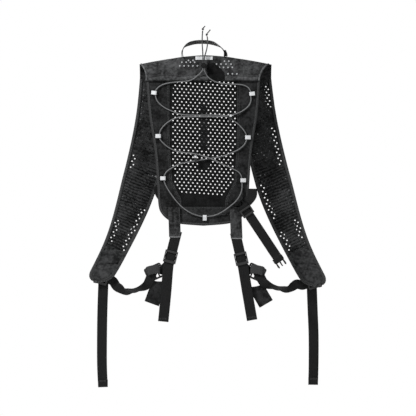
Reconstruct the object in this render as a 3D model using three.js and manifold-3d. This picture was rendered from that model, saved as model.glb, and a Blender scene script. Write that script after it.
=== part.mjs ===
// A light running pack worn as a vest: a perforated back panel on two long shoulder straps,
// laced with shock cord.
// Millimetres, +Z up, -Y is the outside of the pack, +Y the side towards the wearer's back.
// The origin is the inner top of the haul loop that the pack hangs from.
import * as THREE from "three";
import { mergeVertices } from "three/addons/utils/BufferGeometryUtils.js";
import Module from "manifold-3d";

const wasm = await Module();
wasm.setup();

// Driving dimensions.
const GAP = 0.3; // clearance between pieces that touch
const PANEL_TOP_HALF = 118; // half the back panel's width under the yoke
const PANEL_WAIST_HALF = 97; // half its width at the narrowest
const PANEL_TOP = -72;
const PANEL_BOTTOM = -382;
const PANEL_CENTRE = -1.5; // the panel hangs a little left of the haul loop
const SHELL_THICK = 1.8;
const LINER_THICK = 2.5;
const BINDING_WIDTH = 5;
const BINDING_PROUD = 0.9;
const WINDOW_HALF = 71; // half the width of the perforated window
const WINDOW_LOW_HALF = 46;
const BAND_SEAM = PANEL_BOTTOM + 40; // seam between the window piece and the lower band
const YOKE_HALF = 136;
const YOKE_HEM = -78;
const YOKE_THICK = 1.9;
const FOLD_RADIUS = 24; // the shoulders fold back over this radius
const STRAP_WIDTH = 72;
const STRAP_LOW_WIDTH = 53;
const STRAP_THICK = 5;
const STRAP_EDGE = 2.4; // radius of the strap's edge binding
const STRAP_LENGTH = 460; // along the strap from shoulder seam to tip
const STRAP_TOP = -72;
const WEBBING_WIDTH = 20;
const WEBBING_THICK = 1.6;
const LOWER_WIDTH = 22; // width of the bottom webbing
const CORD = 2.5; // shock cord diameter
const KEEPER_LENGTH = 11.5;
const KEEPER_WIDTH = 8;
const LOOP_HALF = 44;
const LOCK_RADIUS = 5.6;
const LOCK_LENGTH = 12.6;
const BUTTON_RADIUS = 4;
const BUTTON_TRAVEL = 2.5;
const GLIDE_WIDTH = 27;
const GLIDE_HEIGHT = 26;
const LADDER_LENGTH = 38;
const LADDER_WIDTH = 31;

// How each half lies: outward distances from the centre line, and heights.
const SIDES = [
  {
    name: "left",
    sign: -1,
    strap: [100, 107.5, 137, 226],
    strapLow: [-194, -355, -502],
    tail: [213, 216, 214],
    tailLength: 226,
    sleeve: [63, 61, 67, 73.5, 85.5],
    sleeveHem: -405,
    glideTop: -434,
    webbingEnd: -583,
    ladder: { out: 104, height: -480, turn: 0.42 },
    tabCorner: [108.8, -496],
    tabTurn: 0.35,
    linkLow: -519.5,
  },
  {
    name: "right",
    sign: 1,
    strap: [106.5, 118, 151, 241],
    strapLow: [-192, -364, -511],
    tail: [228, 232, 231],
    tailLength: 212,
    sleeve: [66, 68.5, 75, 81, 101],
    sleeveHem: -408,
    glideTop: -438,
    webbingEnd: -580,
    ladder: { out: 109, height: -480, turn: 0.42 },
    tabCorner: [124.4, -503.5],
    tabTurn: 0.53,
    linkLow: -514.7,
  },
];

const FINISHES = {
  shell: [0x1b1c1e, 0.75, 0],
  yoke: [0x303236, 0.8, 0],
  mesh: [0x17181a, 0.85, 0],
  foam: [0x1d1e20, 0.85, 0],
  binding: [0x3a3b3e, 0.7, 0],
  webbing: [0x161618, 0.7, 0],
  cord: [0x8a8b8d, 0.6, 0],
  plastic: [0x121214, 0.45, 0],
  reflective: [0xb9bcc0, 0.35, 0],
  label: [0xd2d3d4, 0.6, 0],
  spring: [0x9a9da0, 0.3, 0.9],
};

const pack = new THREE.Group();

function add(name, geometry, finish) {
  const [color, roughness, metalness] = FINISHES[finish];
  const material = new THREE.MeshStandardMaterial({ color, roughness, metalness });
  const mesh = new THREE.Mesh(geometry, material);
  mesh.name = name;
  pack.add(mesh);
  return mesh;
}

// Joins and cuts.
function solidOf(geometry) {
  const bare = geometry.clone();
  bare.deleteAttribute("normal");
  bare.deleteAttribute("uv");
  const merged = mergeVertices(bare, 1e-4);
  return new wasm.Manifold(
    new wasm.Mesh({
      numProp: 3,
      vertProperties: merged.attributes.position.array,
      triVerts: new Uint32Array(merged.index.array),
    }),
  );
}

function geometryOf(solid) {
  const mesh = solid.getMesh();
  const geometry = new THREE.BufferGeometry();
  geometry.setAttribute("position", new THREE.BufferAttribute(mesh.vertProperties, 3));
  geometry.setIndex(new THREE.BufferAttribute(mesh.triVerts, 1));
  return geometry;
}

function cut(geometry, ...tools) {
  let solid = solidOf(geometry);
  for (const tool of tools) solid = solid.subtract(solidOf(tool));
  return geometryOf(solid);
}

function join(geometry, ...others) {
  let solid = solidOf(geometry);
  for (const other of others) solid = solid.add(solidOf(other));
  return geometryOf(solid);
}

function common(geometry, other) {
  return geometryOf(solidOf(geometry).intersect(solidOf(other)));
}

function block(low, high) {
  const size = high.map((value, axis) => value - low[axis]);
  const middle = high.map((value, axis) => (value + low[axis]) / 2);
  return new THREE.BoxGeometry(...size).translate(...middle);
}

// A box whose points are carried to new places: u and w run from -1 to 1 across and through it,
// v from 0 to 1 along it.
function mappedBox(across, through, along, place) {
  const geometry = new THREE.BoxGeometry(2, 2, 1, across, through, along);
  const position = geometry.getAttribute("position");
  for (let i = 0; i < position.count; i++) {
    const spot = place(position.getX(i), position.getZ(i) + 0.5, position.getY(i));
    position.setXYZ(i, spot.x, spot.y, spot.z);
  }
  geometry.computeVertexNormals();
  return geometry;
}

// A flat shape drawn in x and z, as thick as given, its front face at y = front.
function plate(points, front, thick, hole) {
  const shape = new THREE.Shape(points);
  if (hole) shape.holes.push(new THREE.Path(hole));
  const geometry = new THREE.ExtrudeGeometry(shape, { depth: thick, bevelEnabled: false });
  return geometry.rotateX(Math.PI / 2).translate(0, front + thick, 0);
}

// A closed loop of points moved inwards by a distance, each along the mean of its two sides' normals.
function inset(points, distance) {
  const count = points.length;
  return points.map((point, i) => {
    const before = points[(i + count - 1) % count];
    const after = points[(i + 1) % count];
    const first = point.clone().sub(before).normalize();
    const second = after.clone().sub(point).normalize();
    const along = first.clone().add(second).normalize();
    const spread = Math.max(0.5, Math.sqrt((1 + first.dot(second)) / 2));
    const reach = distance / spread;
    return new THREE.Vector2(point.x - along.y * reach, point.y + along.x * reach);
  });
}

// A flat strip along a route; side(v) points across it.
function strip(route, width, thick, side, steps, across = 2) {
  const curve = new THREE.CatmullRomCurve3(route);
  return mappedBox(across, 1, steps, (u, v, w) => {
    const along = curve.getTangentAt(v);
    const over = side(v).addScaledVector(along, -side(v).dot(along)).normalize();
    const normal = along.clone().cross(over);
    return curve
      .getPointAt(v)
      .addScaledVector(over, (u * width) / 2)
      .addScaledVector(normal, (w * thick) / 2);
  });
}

// A round tube along a route.
function tube(route, radius, sides, steps) {
  const section = new THREE.Shape(
    Array.from({ length: sides }, (_, i) => {
      const turn = (i * 2 * Math.PI) / sides;
      return new THREE.Vector2(radius * Math.cos(turn), radius * Math.sin(turn));
    }),
  );
  const extrudePath = new THREE.CatmullRomCurve3(route.map((p) => new THREE.Vector3(...p)));
  return new THREE.ExtrudeGeometry(section, { steps, extrudePath, bevelEnabled: false });
}

function rounded(width, height, corner) {
  const shape = new THREE.Shape();
  const x = width / 2;
  const y = height / 2;
  shape.moveTo(-x + corner, -y);
  shape.lineTo(x - corner, -y);
  shape.absarc(x - corner, -y + corner, corner, -Math.PI / 2, 0);
  shape.lineTo(x, y - corner);
  shape.absarc(x - corner, y - corner, corner, 0, Math.PI / 2);
  shape.lineTo(-x + corner, y);
  shape.absarc(-x + corner, y - corner, corner, Math.PI / 2, Math.PI);
  shape.lineTo(-x, -y + corner);
  shape.absarc(-x + corner, -y + corner, corner, Math.PI, 1.5 * Math.PI);
  return shape.getPoints(3).slice(0, -1);
}

const mix = THREE.MathUtils.lerp;
const smooth = THREE.MathUtils.smoothstep;
const flat = (x, z) => new THREE.Vector2(x, z);

// Back panel: a bound edge, two side panels, the perforated window piece and a lower band over a soft liner.
const panelHeight = PANEL_TOP - PANEL_BOTTOM;
const panelHalf = new THREE.SplineCurve([
  flat(PANEL_TOP_HALF + 1.5, PANEL_TOP),
  flat(mix(PANEL_TOP_HALF, PANEL_WAIST_HALF, 0.2), PANEL_TOP - panelHeight * 0.24),
  flat(mix(PANEL_TOP_HALF, PANEL_WAIST_HALF, 0.78), PANEL_TOP - panelHeight * 0.5),
  flat(PANEL_WAIST_HALF, PANEL_TOP - panelHeight * 0.7),
  flat(PANEL_WAIST_HALF - 3, PANEL_TOP - panelHeight * 0.86),
  flat(PANEL_WAIST_HALF - 10, PANEL_TOP - panelHeight * 0.92),
  flat(PANEL_WAIST_HALF - 26, PANEL_TOP - panelHeight * 0.965),
  flat(PANEL_WAIST_HALF / 2, PANEL_BOTTOM + 4),
  flat(0, PANEL_BOTTOM),
]).getPoints(32);
const panelOutline = [
  ...panelHalf.map((p) => flat(PANEL_CENTRE - p.x, p.y)),
  ...panelHalf
    .slice(0, -1)
    .reverse()
    .map((p) => flat(PANEL_CENTRE + p.x, p.y)),
];
const panelInner = inset(panelOutline, BINDING_WIDTH);
const panelField = inset(panelOutline, BINDING_WIDTH + GAP);
const panelBack = SHELL_THICK + GAP + LINER_THICK;
add(
  "panel_binding",
  plate(panelOutline, -BINDING_PROUD, panelBack + 2 * BINDING_PROUD, panelInner),
  "binding",
);

// Half the window's width at each height.
const windowSide = [
  [WINDOW_HALF - 0.5, PANEL_TOP + 10],
  [WINDOW_HALF, PANEL_TOP - panelHeight * 0.35],
  [WINDOW_HALF - 2, PANEL_TOP - panelHeight * 0.52],
  [WINDOW_HALF - 6, PANEL_TOP - panelHeight * 0.7],
  [WINDOW_LOW_HALF, PANEL_TOP - panelHeight * 0.82],
];
function windowLoop(grow, low) {
  const half = [...windowSide, [WINDOW_LOW_HALF, low]];
  return [
    ...half.map(([x, z]) => flat(PANEL_CENTRE - x - grow, z)),
    ...half.reverse().map(([x, z]) => flat(PANEL_CENTRE + x + grow, z)),
  ];
}
const DEEP = 40;
const WIDE = 400;
const field = plate(panelField, 0, SHELL_THICK);
const middle = plate(windowLoop(0, BAND_SEAM), -DEEP, 2 * DEEP);
const middleGrown = plate(windowLoop(GAP, BAND_SEAM - 1), -DEEP, 2 * DEEP);
const below = block([-WIDE, -DEEP, 2 * PANEL_BOTTOM], [WIDE, DEEP, BAND_SEAM - GAP]);
const belowGrown = block([-WIDE, -DEEP, 2 * PANEL_BOTTOM], [WIDE, DEEP, BAND_SEAM]);
const leftHalf = block([-WIDE, -DEEP, 2 * PANEL_BOTTOM], [PANEL_CENTRE, DEEP, 50]);
const rightHalf = block([PANEL_CENTRE, -DEEP, 2 * PANEL_BOTTOM], [WIDE, DEEP, 50]);
const flanks = cut(field, middleGrown, belowGrown);
add("side_panel_left", common(flanks, leftHalf), "shell");
add("side_panel_right", common(flanks, rightHalf), "shell");
add("mesh_window", common(field, middle), "mesh");
add("lower_band", common(field, below), "shell");
const linerField = plate(panelField, SHELL_THICK + GAP, LINER_THICK);
const linerWindow = windowLoop(-2, PANEL_TOP - panelHeight * 0.84).map((p) =>
  flat(p.x, Math.min(p.y, YOKE_HEM + 2)),
);
add("back_liner", cut(linerField, plate(linerWindow, -DEEP, 2 * DEEP)), "foam");

// Yoke: its top edge is a shallow arch, and its two ends turn back over the shoulders.
const ARCH_TOP = -24;
const ARCH_FALL = 18;
const YOKE_MIDDLE = 2;
const HEM_MIDDLE = -3;
const NECK_HALF = 62; // the straps start outside this
const yokeFront = -BINDING_PROUD - GAP - YOKE_THICK;
const yokeSkin = yokeFront + YOKE_THICK / 2;
const archHeight = (x) => ARCH_TOP - ARCH_FALL * (Math.abs(x - YOKE_MIDDLE) / YOKE_HALF) ** 1.6;
// The yoke's side edge leans in from the shoulder corner to the hem.
const yokeHalfAt = (height) => mix(YOKE_HALF - 16, YOKE_HALF, smooth(height, 0, 1) ** 1.4);

function yokePlace(u, v, w) {
  const x = mix(HEM_MIDDLE, YOKE_MIDDLE, v) + u * yokeHalfAt(v);
  const top = archHeight(x);
  const bent = smooth(Math.abs(x - YOKE_MIDDLE), NECK_HALF - 16, NECK_HALF + 6);
  const rise = top - YOKE_HEM;
  const straight = rise - FOLD_RADIUS;
  const arc = (FOLD_RADIUS * Math.PI) / 2 - 1;
  const run = v * (straight + arc);
  const turn = Math.max(0, run - straight) / FOLD_RADIUS;
  const foldedY = FOLD_RADIUS * (1 - Math.cos(turn));
  const foldedZ = YOKE_HEM + Math.min(run, straight) + FOLD_RADIUS * Math.sin(turn);
  const half = (w * YOKE_THICK) / 2;
  return new THREE.Vector3(
    x,
    yokeSkin + bent * foldedY + half * mix(1, Math.cos(turn), bent),
    mix(YOKE_HEM + v * rise, foldedZ, bent) - half * bent * Math.sin(turn),
  );
}
add("yoke", mappedBox(24, 1, 8, yokePlace), "yoke");
const LABEL_HALF = 18;
const LABEL_TOP = -26.5;
const LABEL_HEIGHT = 7;
add(
  "label_patch",
  block(
    [-LABEL_HALF, yokeFront - GAP - 0.5, LABEL_TOP - LABEL_HEIGHT],
    [LABEL_HALF, yokeFront - GAP, LABEL_TOP],
  ),
  "label",
);
add(
  "hose_flap",
  plate(
    [flat(9, -77), flat(44, -77), flat(42, -60), flat(30, -49), flat(20, -41), flat(8, -40), flat(7, -58)],
    yokeFront - GAP - 0.8,
    0.8,
  ),
  "shell",
);

// Haul loop: a webbing arch, its face tipped towards the outside at the top and edge-on at the legs.
const LOOP_TILT = 0.44;
const LOOP_DEPTH = 3.5;
const loopFoot = (across) => archHeight(across * LOOP_HALF) + 0.6;
const loopRoute = [
  [-1, loopFoot(-1)],
  [-1.03, -16],
  [-0.96, -7.5],
  [-0.76, -1],
  [-0.48, 3.1],
  [0, 4.3],
  [0.37, 2.4],
  [0.62, -2.2],
  [0.83, -8],
  [0.95, -15],
  [0.98, loopFoot(0.98)],
].map(([across, height]) => new THREE.Vector3(across * LOOP_HALF, LOOP_DEPTH, height));
add(
  "haul_loop",
  strip(
    loopRoute,
    WEBBING_WIDTH,
    WEBBING_THICK,
    (v) => {
      const tilt = LOOP_TILT * smooth(v, 0.1, 0.3) * (1 - smooth(v, 0.64, 0.88));
      return new THREE.Vector3(0, -Math.cos(tilt), -Math.sin(tilt));
    },
    40,
  ),
  "webbing",
);

// Shoulder straps.
const strapBack = yokeSkin + 2 * FOLD_RADIUS;
const STRAP_TIP_BACK = strapBack - 3;

function strapCurve(side) {
  const [x0, x1, x2, x3] = side.strap.map((x) => x * side.sign);
  const [z1, z2, z3] = side.strapLow;
  return new THREE.CubicBezierCurve3(
    new THREE.Vector3(x0, strapBack, STRAP_TOP - GAP),
    new THREE.Vector3(x1, strapBack, z1),
    new THREE.Vector3(x2, mix(strapBack, STRAP_TIP_BACK, 0.6), z2),
    new THREE.Vector3(x3, STRAP_TIP_BACK, z3),
  );
}

// Half the strap's width at t, less an edge: widest a little above the middle, with a round end.
const ROUND_END = 0.95;
function strapHalf(t, edge) {
  const body = mix(STRAP_WIDTH, STRAP_WIDTH + 4, smooth(t, 0.15, 0.45));
  const full = mix(body, STRAP_LOW_WIDTH, smooth(t, 0.5, 0.9)) / 2;
  const end = 1 - edge / STRAP_LENGTH;
  const past = Math.max(0, (t - ROUND_END) / (end - ROUND_END));
  return Math.max(3, (full - edge) * Math.sqrt(Math.max(0, 1 - Math.min(1, past) ** 2.4)));
}

function strapFrame(side, curve, t) {
  const along = curve.getTangent(t);
  const square = smooth(t, 0, 0.12) * (1 - 0.85 * smooth(t, 0.82, 1));
  const over = new THREE.Vector3(1, 0, 0).lerp(new THREE.Vector3(-along.z, 0, along.x), square).normalize();
  return { centre: curve.getPoint(t), over, normal: along.clone().cross(over).normalize() };
}

for (const side of SIDES) {
  const { name, sign } = side;
  const curve = strapCurve(side);
  const inner = STRAP_EDGE * 2 + 1;
  const last = 1 - inner / STRAP_LENGTH;
  add(
    `shoulder_wing_${name}`,
    mappedBox(4, 1, 10, (u, v, w) => {
      const x = curve.getPoint(0).x + (u * (STRAP_WIDTH - 2)) / 2;
      const top = archHeight(x);
      const centre = top - FOLD_RADIUS;
      const drop = centre - STRAP_TOP;
      const arc = (FOLD_RADIUS * Math.PI) / 2;
      const run = 1 + v * (arc + drop - 1);
      const turn = Math.min(run / FOLD_RADIUS, Math.PI / 2);
      const fall = Math.max(0, run - arc);
      const out = FOLD_RADIUS - w * 1.5 - 0.9 * Math.cos(turn);
      return new THREE.Vector3(
        x,
        yokeSkin + FOLD_RADIUS + out * Math.sin(turn),
        centre + out * Math.cos(turn) - fall,
      );
    }),
    "foam",
  );
  add(
    `strap_pad_${name}`,
    mappedBox(4, 1, 28, (u, v, w) => {
      const t = last * (1 - (1 - v) ** 1.5);
      const { centre, over, normal } = strapFrame(side, curve, t);
      return centre
        .addScaledVector(over, -u * strapHalf(t, inner))
        .addScaledVector(normal, (-w * STRAP_THICK) / 2);
    }),
    "foam",
  );
  const edge = [];
  const EDGE_POINTS = 26;
  for (let i = 0; i <= 2 * EDGE_POINTS; i++) {
    const near = 1 - Math.abs(i - EDGE_POINTS) / EDGE_POINTS;
    const t = (1 - STRAP_EDGE / STRAP_LENGTH) * (1 - (1 - near) ** 1.7);
    const { centre, over } = strapFrame(side, curve, t);
    const half = i === EDGE_POINTS ? 0 : strapHalf(t, STRAP_EDGE) * Math.sign(EDGE_POINTS - i);
    edge.push(centre.addScaledVector(over, half).toArray());
  }
  add(`strap_binding_${name}`, tube(edge, STRAP_EDGE, 6, 60), "binding");

  // The adjuster at the strap's tip, with the webbing tail that hangs out of it.
  const tip = curve.getPoint(1);
  const padFace = STRAP_THICK / 2 + GAP;
  const buckleFront = tip.y + padFace + 0.6;
  const BUCKLE_THICK = 3.4;
  const buckle = cut(
    plate(rounded(28, 20, 3), buckleFront, BUCKLE_THICK),
    plate(rounded(21.5, 4, 1).map((p) => flat(p.x, p.y + 4.4)), -WIDE, 2 * WIDE),
    plate(rounded(21.5, 4, 1).map((p) => flat(p.x, p.y - 3.6)), -WIDE, 2 * WIDE),
  );
  buckle
    .translate(0, -buckleFront, 0)
    .rotateY(-sign * 0.3)
    .translate(tip.x - sign * 8, buckleFront, tip.z + 6);
  add(`tip_buckle_${name}`, buckle, "plastic");
  const tailY = buckleFront + BUCKLE_THICK + GAP + WEBBING_THICK / 2;
  const tailTop = tip.z + 4;
  const tailRoute = side.tail.map(
    (out, i) => new THREE.Vector3(sign * out, tailY, tailTop - (i * side.tailLength) / 2),
  );
  add(
    `tip_tail_${name}`,
    strip(tailRoute, WEBBING_WIDTH + 1.5, WEBBING_THICK, () => new THREE.Vector3(1, 0, 0), 14),
    "webbing",
  );

  // Bottom webbing: out of a sewn sleeve, through a tri-glide, down to a hemmed end.
  const [sleeveTop, sleeveLow, glide, bend, end] = side.sleeve.map((x) => x * sign);
  const lowerY = -4.2;
  const SLEEVE_THICK = 3;
  const sleeveRoute = [
    new THREE.Vector3(sleeveTop, lowerY + 1, BAND_SEAM - 1),
    new THREE.Vector3((sleeveTop + sleeveLow) / 2, lowerY + 1, (BAND_SEAM + side.sleeveHem) / 2),
    new THREE.Vector3(sleeveLow, lowerY + 1, side.sleeveHem),
  ];
  const acrossX = () => new THREE.Vector3(1, 0, 0);
  add(`sleeve_${name}`, strip(sleeveRoute, WEBBING_WIDTH + 4.5, SLEEVE_THICK, acrossX, 6), "webbing");
  const glideLow = side.glideTop - GLIDE_HEIGHT;
  const slope = (bend - glide) / (glideLow - side.glideTop);
  const glideX = (z) => glide + slope * (z - side.glideTop);
  const straightTop = side.sleeveHem - 3.4;
  const lowRoute = [
    new THREE.Vector3(glideX(straightTop), lowerY, straightTop),
    new THREE.Vector3(glideX(side.glideTop), lowerY, side.glideTop),
    new THREE.Vector3(glideX(glideLow), lowerY, glideLow),
    new THREE.Vector3(glideX(glideLow - 5), lowerY, glideLow - 5),
    new THREE.Vector3(mix(bend, end, 0.5), lowerY, mix(glideLow, side.webbingEnd, 0.5)),
    new THREE.Vector3(end, lowerY, side.webbingEnd),
  ];
  add(`lower_webbing_${name}`, strip(lowRoute, LOWER_WIDTH, WEBBING_THICK, acrossX, 24), "webbing");

  // Tri-glide: end bars in front of the webbing, the middle bar behind it.
  const RAIL = (GLIDE_WIDTH - LOWER_WIDTH) / 2 - GAP;
  const front = -3.2;
  const slack = WEBBING_THICK / 2 + GAP;
  const w2 = GLIDE_WIDTH / 2;
  const h2 = GLIDE_HEIGHT / 2;
  const triGlide = join(
    block([-w2, front, -h2], [-w2 + RAIL, -front, h2]),
    block([w2 - RAIL, front, -h2], [w2, -front, h2]),
    block([-w2, front, h2 - 4.4], [w2, -slack, h2]),
    block([-w2, front, -h2], [w2, -slack, -h2 + 5.5]),
    block([-w2, slack, -3], [w2, -front, 3]),
  );
  const glideTurn = Math.atan(slope);
  const glideMid = (side.glideTop + glideLow) / 2;
  triGlide.rotateY(glideTurn).translate(glideX(glideMid), lowerY, glideMid);
  add(`tri_glide_${name}`, triGlide, "plastic");

  // Ladder lock beside the bottom webbing, a webbing loop that anchors it, and a fabric tab.
  const { out, height, turn } = side.ladder;
  const ladderY = 5;
  const LADDER_THICK = 3.6;
  const bars = [
    [12, 7.5],
    [2.6, 5],
    [-8.6, 6],
  ];
  let ladder = plate(rounded(LADDER_LENGTH, LADDER_WIDTH, 4), -LADDER_THICK / 2, LADDER_THICK);
  for (const [x, wide] of bars) {
    const slot = plate(rounded(wide, LADDER_WIDTH - 8, 1).map((p) => flat(p.x + x, p.y)), -DEEP, 2 * DEEP);
    ladder = cut(ladder, slot);
  }
  if (sign > 0) ladder.rotateY(Math.PI);
  ladder.rotateY(sign * turn).translate(sign * out, ladderY, height);
  add(`ladder_lock_${name}`, ladder, "plastic");

  const anchorY = ladderY - LADDER_THICK / 2 - GAP - WEBBING_THICK / 2;
  const anchorRoute = [
    new THREE.Vector3(glideX(glideLow) + sign * 3, anchorY, glideLow - 1),
    new THREE.Vector3(sign * (out - 17), anchorY, height + 8),
    new THREE.Vector3(sign * (out - 13), anchorY, height - 4),
  ];
  add(
    `anchor_webbing_${name}`,
    strip(anchorRoute, WEBBING_WIDTH - 6, WEBBING_THICK, acrossX, 6),
    "webbing",
  );

  // A wider link webbing needs the tab further in.
  const tabX = side.tabCorner[0] + 30 - 1.5 * WEBBING_WIDTH;
  const tabZ = side.tabCorner[1];
  const TAB_WIDTH = 32;
  const TAB_HEIGHT = sign < 0 ? 47 : 40;
  const tabAt = (x, z) => {
    const cos = Math.cos(side.tabTurn);
    const sin = Math.sin(side.tabTurn);
    return flat(sign * (tabX - x * cos - z * sin), tabZ - x * sin + z * cos);
  };
  const shiftIn = 4;
  const tab = [
    tabAt(0, 0),
    tabAt(TAB_WIDTH - shiftIn, 10),
    tabAt(TAB_WIDTH, 0),
    tabAt(TAB_WIDTH, -TAB_HEIGHT),
    tabAt(0, -TAB_HEIGHT),
  ];
  if (sign > 0) tab.reverse();
  add(`side_tab_${name}`, plate(tab, 2, 1.1), "shell");

  // Webbing that hangs in a curve from the strap's tip adjuster to the ladder lock.
  const near = out + 10;
  const linkHang = [
    [0.34, 49.4, 9],
    [0.42, 44, 4],
    [0.5, 35, 0],
    [0.6, 16, 0.6],
    [0.75, -1.6, 3.4],
    [0.94, -1.3, 13],
    [1, -0.9, 24],
  ];
  const linkAt = ([share, y, lift]) =>
    new THREE.Vector3(sign * mix(side.strap[3] - 4, near, share), y, side.linkLow + lift);
  const linkRoute = [
    new THREE.Vector3(tip.x - sign * (8.5 + 1.2 * WEBBING_WIDTH), strapBack + 4, tip.z + 3),
    ...linkHang.map(linkAt),
    new THREE.Vector3(sign * (out + 5), -0.5, height - 2),
    new THREE.Vector3(sign * (out + 0.5), -0.4, height + 8),
  ];
  add(
    `link_webbing_${name}`,
    strip(
      linkRoute,
      WEBBING_WIDTH,
      WEBBING_THICK,
      (v) => {
        const first = new THREE.Vector3(-sign * 0.66, 0, 0.75);
        const last = new THREE.Vector3(sign * 0.85, 0, 0.53);
        const edgeOn = new THREE.Vector3(0, -1, 0.25);
        return v < 0.5
          ? first.lerp(edgeOn, smooth(v, 0.08, 0.34))
          : edgeOn.lerp(last, smooth(v, 0.52, 0.8));
      },
      28,
    ),
    "webbing",
  );
}

// The lacing was laid out on a panel this low; below its start it stretches with the panel.
const LACING_START = -100;
const LACING_BOTTOM = -382;
const lacingScale = (PANEL_BOTTOM - LACING_START) / (LACING_BOTTOM - LACING_START);
const onPanel = (z) => (z > LACING_START ? z : LACING_START + (z - LACING_START) * lacingScale);

// Shock cord keepers: folded tabs round the cord, each pointing from the cord to where it is sewn.
const KEEPER_ROWS = [
  { name: "upper", reach: 100.5, left: -103, right: -105, lean: 0.12 },
  { name: "middle", reach: 91.7, left: -193.4, right: -196.4, lean: 0 },
  { name: "lower", reach: 81.8, left: -282.2, right: -286.4, lean: 0 },
];
const KEEPER_PLAY = 1; // the cord runs loosely in the fold
const KEEPER_SKIN = 0.6;
const keeperRadius = CORD / 2 + KEEPER_PLAY + KEEPER_SKIN;
const keeperY = -keeperRadius - 0.1;

function keeper(x, z, turn) {
  const outer = new THREE.Shape();
  outer.absarc(0, 0, keeperRadius, Math.PI / 2, 1.5 * Math.PI);
  outer.lineTo(KEEPER_LENGTH - keeperRadius, -1.3);
  outer.lineTo(KEEPER_LENGTH - keeperRadius, 1.3);
  const passage = new THREE.Path();
  passage.absarc(0, 0, CORD / 2 + KEEPER_PLAY, 0, 2 * Math.PI, true);
  outer.holes.push(passage);
  const fold = { depth: KEEPER_WIDTH, bevelEnabled: false, curveSegments: 5 };
  const body = new THREE.ExtrudeGeometry(outer, fold);
  body.translate(0, 0, -KEEPER_WIDTH / 2);
  return body.rotateY(-turn).translate(x, keeperY, onPanel(z));
}
const keeperSpots = KEEPER_ROWS.flatMap((row) => [
  { name: `${row.name}_left`, x: PANEL_CENTRE - row.reach, z: row.left, turn: Math.PI - row.lean },
  { name: `${row.name}_right`, x: PANEL_CENTRE + row.reach - 1, z: row.right, turn: row.lean },
]);
const BOTTOM_KEEPER = { name: "bottom", x: 1.5, z: -362.3, turn: -Math.PI / 2 };
for (const spot of [...keeperSpots, BOTTOM_KEEPER]) {
  add(`cord_keeper_${spot.name}`, keeper(spot.x, spot.z, spot.turn), "reflective");
}

// Cord lock: a short barrel across the cords, a sprung button that pins them.
const lockX = -0.7;
const lockZ = -46;
const CORD_PITCH = 1.6; // the two cords lie this far each side of the lock's middle
const lockBack = yokeFront - GAP - 0.9;
const lockFront = lockBack - LOCK_LENGTH;
const cordY = -11.5;
const slotHalf = CORD_PITCH + CORD / 2 + GAP;
function barrel(radius, front, back) {
  const round = new THREE.CylinderGeometry(radius, radius, back - front, 16);
  return round.translate(lockX, (front + back) / 2, lockZ);
}
const boreBack = lockBack - 1.2;
const boreRadius = BUTTON_RADIUS + GAP;
const cordSlot = (front, back) =>
  block([lockX - slotHalf, front, lockZ - 20], [lockX + slotHalf, back, lockZ + 20]);
const slotFront = cordY - CORD / 2 - GAP;
const slotBack = cordY + CORD / 2 + GAP;
add(
  "lock_barrel",
  cut(
    barrel(LOCK_RADIUS, lockFront, lockBack),
    barrel(boreRadius, lockFront - 1, boreBack),
    cordSlot(slotFront, slotBack),
  ),
  "plastic",
);
const springFront = boreBack - 3.4;
add(
  "lock_button",
  cut(
    barrel(BUTTON_RADIUS, lockFront - BUTTON_TRAVEL - 0.6, springFront - GAP),
    cordSlot(slotFront - BUTTON_TRAVEL, slotBack),
  ),
  "plastic",
);
const springTurns = 3;
const springRoute = Array.from({ length: springTurns * 10 + 1 }, (_, i) => {
  const angle = (i * 2 * Math.PI) / 10;
  const rise = i / (springTurns * 10);
  return [
    lockX + 2.6 * Math.cos(angle),
    mix(boreBack - GAP - 0.35, springFront + GAP + 0.2, rise),
    lockZ + 2.6 * Math.sin(angle),
  ];
});
add("lock_spring", tube(springRoute, 0.3, 5, springTurns * 9), "spring");

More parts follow.
